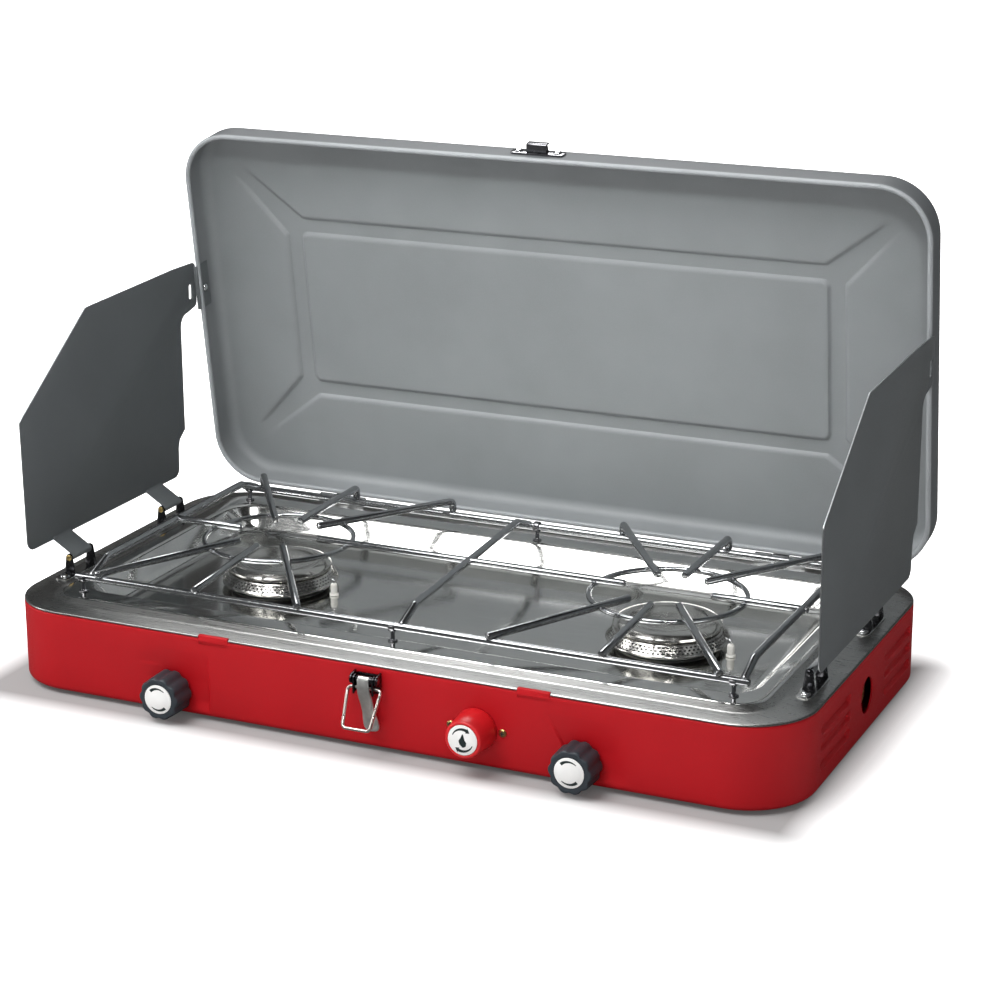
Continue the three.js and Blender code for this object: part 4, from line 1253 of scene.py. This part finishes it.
def shield_leg(sign, y):
    """A tongue of the panel that bends in to the deck and curls round the hinge pin."""
    sheet_middle = SHIELD_INNER + SHEET / 2
    bend = Vector((sheet_middle, 86))
    run = (SHIELD_AXIS - bend).normalized()
    side = Vector((-run.y, run.x))
    end = SHIELD_AXIS - side * (KNUCKLE - 0.5)
    path = rounded([(sheet_middle, 92), bend, end], 4)
    start = math.degrees(math.atan2(-side.y, -side.x))
    path += [Vector(p) for p in arc(*SHIELD_AXIS, KNUCKLE - 0.5, start, start + 290, 22)[1:]]
    outline = [(sign * a, b) for a, b in ribbon(path, SHEET * 0.9)]
    return across_y(outline, y - 12, y + 12)


def add_windshield(side, sign):
    """A windshield: its panel with a keyhole in the tab, and two legs."""
    inner, outer = sorted((sign * SHIELD_INNER, sign * (SHIELD_INNER + SHEET)))
    panel = Shape().add(across_x(shield_outline(), inner, outer), 0, edge_slot=1)
    shield = make_object(f"windshield_{side}_look", panel, [SHIELD_GREY, SHIELD_EDGE])
    keyhole = rectangle(122, 126, 224, 236, 1.9)
    cut(shield, Shape().add(across_x(keyhole, inner - 2, outer + 2)))
    legs = Shape()
    for y in SHIELD_HINGES:
        legs.add(shield_leg(sign, y))
    join_in(shield, make_object("legs", legs, []))
    soften(shield, 0.25)
    finish_piece(shield, f"windshield_{side}")


def add_bracket(side, sign, end, y):
    """A riveted plate on the deck with two ears that carry the windshield's hinge pin."""
    name = f"windshield_bracket_{end}_{side}"
    x, z = sign * SHIELD_AXIS.x, SHIELD_AXIS.y
    deck = PAN["flange"] + 0.15
    shape = Shape()
    base = rectangle(x - 6, x + 6, y - 27, y + 16, 4.5, 5)
    shape.add(across_z(base, deck, deck + 1), 3)
    for way in (-1, 1):
        near, far = sorted((y + way * 13.2, y + way * 14.4))
        ear = [(x - 4.5, deck + 0.5), *arc(x, z, 2.8, 180, 0, 12), (x + 4.5, deck + 0.5)]
        shape.add(across_y(ear, near, far))
    shape.add(domed((x, y - 20.5, deck + 1), (0, 0, 1), 3.6, 2.0), 1)
    pin = tube([(x, y - 15.6, z), (x, y + 15.6, z)], 1.3, 16)
    shape.add(pin, 2)
    for way in (-1, 1):
        shape.add(domed((x, y + way * 14.4, z), (0, way, 0), 2.3, 1.6), 2)
    pin_metal = BRASS if sign < 0 else BLACKENED
    piece(name, shape, BLACKENED, CHROME, pin_metal, PAN_STEEL, bevel=0.2)


for side_name, side_sign in SIDES.items():
    add_windshield(side_name, side_sign)
    for end_name, hinge_y in zip(("front", "rear"), SHIELD_HINGES):
        add_bracket(side_name, side_sign, end_name, hinge_y)

# ---- Latch ---------------------------------------------------------------------------------------
LATCH = Vector((-161.5, 51))
BAIL = {"drop": 6, "length": 28.5, "tilt": 30, "wire": 1.15, "top": 12.6, "foot": 10.2}
LEVER_LEAN = {"back": 4.5, "aside": 5}


def add_latch_base():
    """A small plate on the front wall with two ears that hold the lever's pin."""
    shape = Shape().add(across_y(rectangle(-9, 9, 40, 54, 2.5), FRONT - 1.5, FRONT - 0.3))
    for way in (-1, 1):
        near, far = sorted((way * 8.8, way * 10))
        y, z = LATCH
        ear = [(FRONT - 0.6, z - 6), *arc(y, z, 3.6, 250, 90, 12), (FRONT - 0.6, z + 4.5)]
        shape.add(across_x(ear, near, far))
        shape.add(domed((way * 10, y, z), (way, 0, 0), 2.3, 0.6), 1)
    shape.add(tube([(-10.4, *LATCH), (10.4, *LATCH)], 1.3, 16), 1)
    piece("latch_base", shape, BLACKENED, DARK_CHROME, bevel=0.2)


def add_latch_lever():
    """Two cheeks and a roll round the pin, and a curved thumb plate with a rounded foot."""
    y, z = LATCH
    pivot = z - BAIL["drop"]
    front = y - 3.2
    stations = [
        (z + 2.6, 3.8, 1.6),
        (z + 1.0, 4.2, 0.3),
        (pivot, 4.4, 0.0),
        (pivot - 4, 4.9, 0.0),
        (pivot - 8, 5.0, 0.2),
        (34, 4.7, 0.3),
        (28, 4.8, 0.2),
        (23, 5.6, -0.1),
        (19, 5.9, -0.5),
        (17, 5.5, -1.0),
        (15.8, 4.6, -1.4),
        (15.1, 3.2, -1.6),
        (14.8, 1.2, -1.7),
    ]
    rings = []
    columns = 8
    for height, half, back in stations:
        down = max(pivot - height, 0) / (pivot - stations[-1][0])
        xs = [half * (2 * k / columns - 1) for k in range(columns + 1)]
        crown = [front + back + LEVER_LEAN["back"] * down - 0.5 * (1 - (x / half) ** 2) for x in xs]
        edge = [(x + LEVER_LEAN["aside"] * down, c) for x, c in zip(xs, crown)]
        section = edge + [(x, c + 1.1) for x, c in edge[::-1]]
        rings.append([Vector((x, c, height)) for x, c in section])
    shape = Shape().add(loft(rings))
    for way in (-1, 1):
        near, far = sorted((way * 6.6, way * 7.8))
        cheek = [(y - 3.2, pivot - 4), *arc(y, pivot, 2.6, -80, 0, 4), *arc(y, z, 3.2, 0, 180, 12)]
        shape.add(across_x(cheek, near, far), 1)
    shape.add(tube([(-6.8, y, z), (6.8, y, z)], 2.6, 24), 1)
    piece("latch_lever", shape, NICKEL, BLACKENED, bevel=0.2)


def add_latch_bail():
    """The wire loop that hangs from the lever and pulls the lid's catch down."""
    lean = math.radians(BAIL["tilt"])
    pivot = LATCH.y - BAIL["drop"]

    def at(x, down):
        return (x, LATCH.x - down * math.sin(lean), pivot - down * math.cos(lean))

    length = BAIL["length"]
    top, foot = BAIL["top"], BAIL["foot"]
    path = [at(0, 0), at(top, 0), at(foot, length), at(-foot, length), at(-top, 0), at(0, 0)]
    piece("latch_bail", Shape().add(tube(rounded(path, 3.2), BAIL["wire"])), WIRE_NICKEL)


add_latch_base()
add_latch_lever()
add_latch_bail()

# ---- Nodes kept from the CAD ---------------------------------------------------------------------
VALVE_PARTS = [f"{part}_{side}" for part in ("valve_body", "valve_stem", "gas_jet") for side in SIDES]
KEPT = (
    (BRASS, ["gas_inlet", *VALVE_PARTS]),
    (ALUMINIUM, ["supply_pipe", "cross_pipe"]),
    (BLACK, ["igniter_body", "ignition_lead_left", "ignition_lead_right"]),
)


def keep_from_cad():
    """Gives the plain inner pieces their finish."""
    for material, names in KEPT:
        for name in names:
            kept = frame["nodes"][name]
            kept.data.materials.clear()
            kept.data.materials.append(material)


keep_from_cad()


# ---- Studio --------------------------------------------------------------------------------------
def add_floor():
    """A plain pale floor that curves up out of sight behind the stove, with a painted contact shadow round
    the case and a dark grey painted into its reflections.
    """
    half, near, far, sweep, rise = 6.0, -5.0, 3.2, 2, 4.0
    profile = [(near, 0), (far, 0)]
    profile += [(far + a, sweep + b) for a, b in arc(0, 0, sweep, -90, 0, 16)]
    profile.append((far + sweep, sweep + rise))
    points = [(x, y, z) for y, z in profile for x in (-half, half)]
    faces = [(2 * i, 2 * i + 1, 2 * i + 3, 2 * i + 2) for i in range(len(profile) - 1)]
    mesh = bpy.data.meshes.new("floor")
    mesh.from_pydata(points, [], faces)
    mesh.shade_smooth()
    material, tree, surface = start_material("floor_white")
    # Distance from the case's footprint, shifted towards the front, which places the painted contact shadow.
    spot = node(tree, "TexCoord").outputs["Object"]
    spot = node(tree, "VectorMath", {0: spot, 1: (0.006, 0.012, 0)}, operation="ADD").outputs[0]
    spot = node(tree, "VectorMath", {0: spot}, operation="ABSOLUTE").outputs[0]
    base = (CASE["half_x"] * MM, CASE["half_y"] * MM, 0)
    past = node(tree, "VectorMath", {0: spot, 1: base}, operation="SUBTRACT").outputs[0]
    past = node(tree, "VectorMath", {0: past, 1: (0, 0, 0)}, operation="MAXIMUM").outputs[0]
    away = node(tree, "VectorMath", {0: past}, operation="LENGTH").outputs["Value"]
    speckle = remap(tree, grain(tree, 3, detail=2), 0, 1)
    white = tint(tree, speckle, (0.90, 0.90, 0.90), (0.92, 0.92, 0.92))
    # Painted contact shadow: the floor's white turns dark grey at the case's edge.
    white = tint(tree, remap(tree, away, 0, 1, -0.01, 0.045), (0.2, 0.2, 0.2), white)
    # Painted reflection: glossy rays see the floor dark grey, standing in for a dark studio.
    reflected = node(tree, "LightPath").outputs["Is Glossy Ray"]
    tree.links.new(tint(tree, reflected, white, (0.12, 0.12, 0.12)), surface.inputs["Base Color"])
    surface.inputs["Roughness"].default_value = 0.9
    surface.inputs["Specular IOR Level"].default_value = 0.1
    # The camera-only glow that keeps the floor white fades out near the case, which deepens the painted
    # shadow.
    glow = remap(tree, away, 0.05, 1.2, 0.0, 0.06)
    seen = node(tree, "LightPath").outputs["Is Camera Ray"]
    glow = node(tree, "Math", {0: glow, 1: seen}, operation="MULTIPLY").outputs[0]
    surface.inputs["Emission Color"].default_value = (1, 1, 1, 1)
    tree.links.new(glow, surface.inputs["Emission Strength"])
    mesh.materials.append(material)
    floor = bpy.data.objects.new("floor", mesh)
    bpy.context.scene.collection.objects.link(floor)


def add_light(name, spot, target, size, power, spread=180, hidden_from=""):
    """A soft box aimed at a target, which one kind of surface ray can be told not to see."""
    light = bpy.data.lights.new(name, "AREA")
    light.shape = "RECTANGLE"
    light.size, light.size_y = size
    light.energy = power
    light.spread = math.radians(spread)
    lamp = bpy.data.objects.new(name, light)
    lamp.location = spot
    lamp.rotation_euler = (Vector(target) - Vector(spot)).to_track_quat("-Z", "Y").to_euler()
    if hidden_from:
        setattr(lamp, "visible_" + hidden_from, False)
    bpy.context.scene.collection.objects.link(lamp)


def add_world():
    """White to the eye and an even grey light; reflections see a darker room, palest near the horizon."""
    world = bpy.data.worlds.new("studio")
    bpy.context.scene.world = world
    world.use_nodes = True
    tree = world.node_tree
    background = tree.nodes["Background"]
    direction = node(tree, "TexCoord").outputs["Generated"]
    axes = node(tree, "SeparateXYZ", {"Vector": direction})
    height = remap(tree, axes.outputs["Z"], 0, 1, 0.1, 0.9)
    room = tint(tree, height, (0.12, 0.125, 0.13), (0.03, 0.03, 0.03))
    reflected = node(tree, "LightPath").outputs["Is Glossy Ray"]
    seen = node(tree, "LightPath").outputs["Is Camera Ray"]
    light = tint(tree, seen, (0.32, 0.32, 0.32), (1, 1, 1))
    tree.links.new(tint(tree, reflected, light, room), background.inputs["Color"])
    background.inputs["Strength"].default_value = 1.0


CAMERA = {"spot": (749.95, -1578.96, 680.23), "azimuth": 24.81, "elevation": 17.28, "roll": -0.23}
CAMERA |= {"lens": 93.54, "sensor": 36}


def add_camera():
    """A camera at the spot, looking down its azimuth and elevation, with a slight roll."""
    azimuth, elevation = math.radians(CAMERA["azimuth"]), math.radians(CAMERA["elevation"])
    back = Vector((
        math.sin(azimuth) * math.cos(elevation),
        -math.cos(azimuth) * math.cos(elevation),
        math.sin(elevation),
    ))
    across = Vector((0, 0, 1)).cross(back).normalized()
    across = Matrix.Rotation(math.radians(CAMERA["roll"]), 3, back) @ across
    up = back.cross(across)
    data = bpy.data.cameras.new("camera")
    data.lens = CAMERA["lens"]
    data.sensor_width = CAMERA["sensor"]
    data.clip_end = 50
    camera = bpy.data.objects.new("camera", data)
    turn = Matrix((across, up, back)).transposed().to_4x4()
    camera.matrix_world = Matrix.Translation(place(CAMERA["spot"])) @ turn
    bpy.context.scene.collection.objects.link(camera)
    bpy.context.scene.camera = camera


add_floor()
add_light("key", (-0.62, -1.25, 2.4), (0, 0, 0.1), (1.9, 1.5), 72)
add_light("side", (-2.6, -0.9, 1.2), (0, 0, 0.1), (0.5, 1.4), 18)
add_light("fill", (0.3, -2.6, 0.5), (0, 0, 0.1), (1.5, 0.8), 9, hidden_from="glossy")
add_light("top", (-0.75, 0.15, 2.2), (0, 0, 0.06), (0.9, 0.9), 1.5, hidden_from="diffuse")
add_light("back", (-0.55, 1.05, 1.5), (0, -0.1, 0.06), (0.9, 0.5), 14, hidden_from="diffuse")
add_light("pool", (0.9, -1.7, 1.6), (-0.02, 0.16, 0.275), (0.3, 0.3), 0.5, spread=21)
add_light("rear", (0.4, 2.6, 1.1), (0, 0.1, 0.2), (1.2, 0.8), 16, hidden_from="glossy")
add_world()
add_camera()
bpy.context.scene.view_settings.view_transform = "Standard"
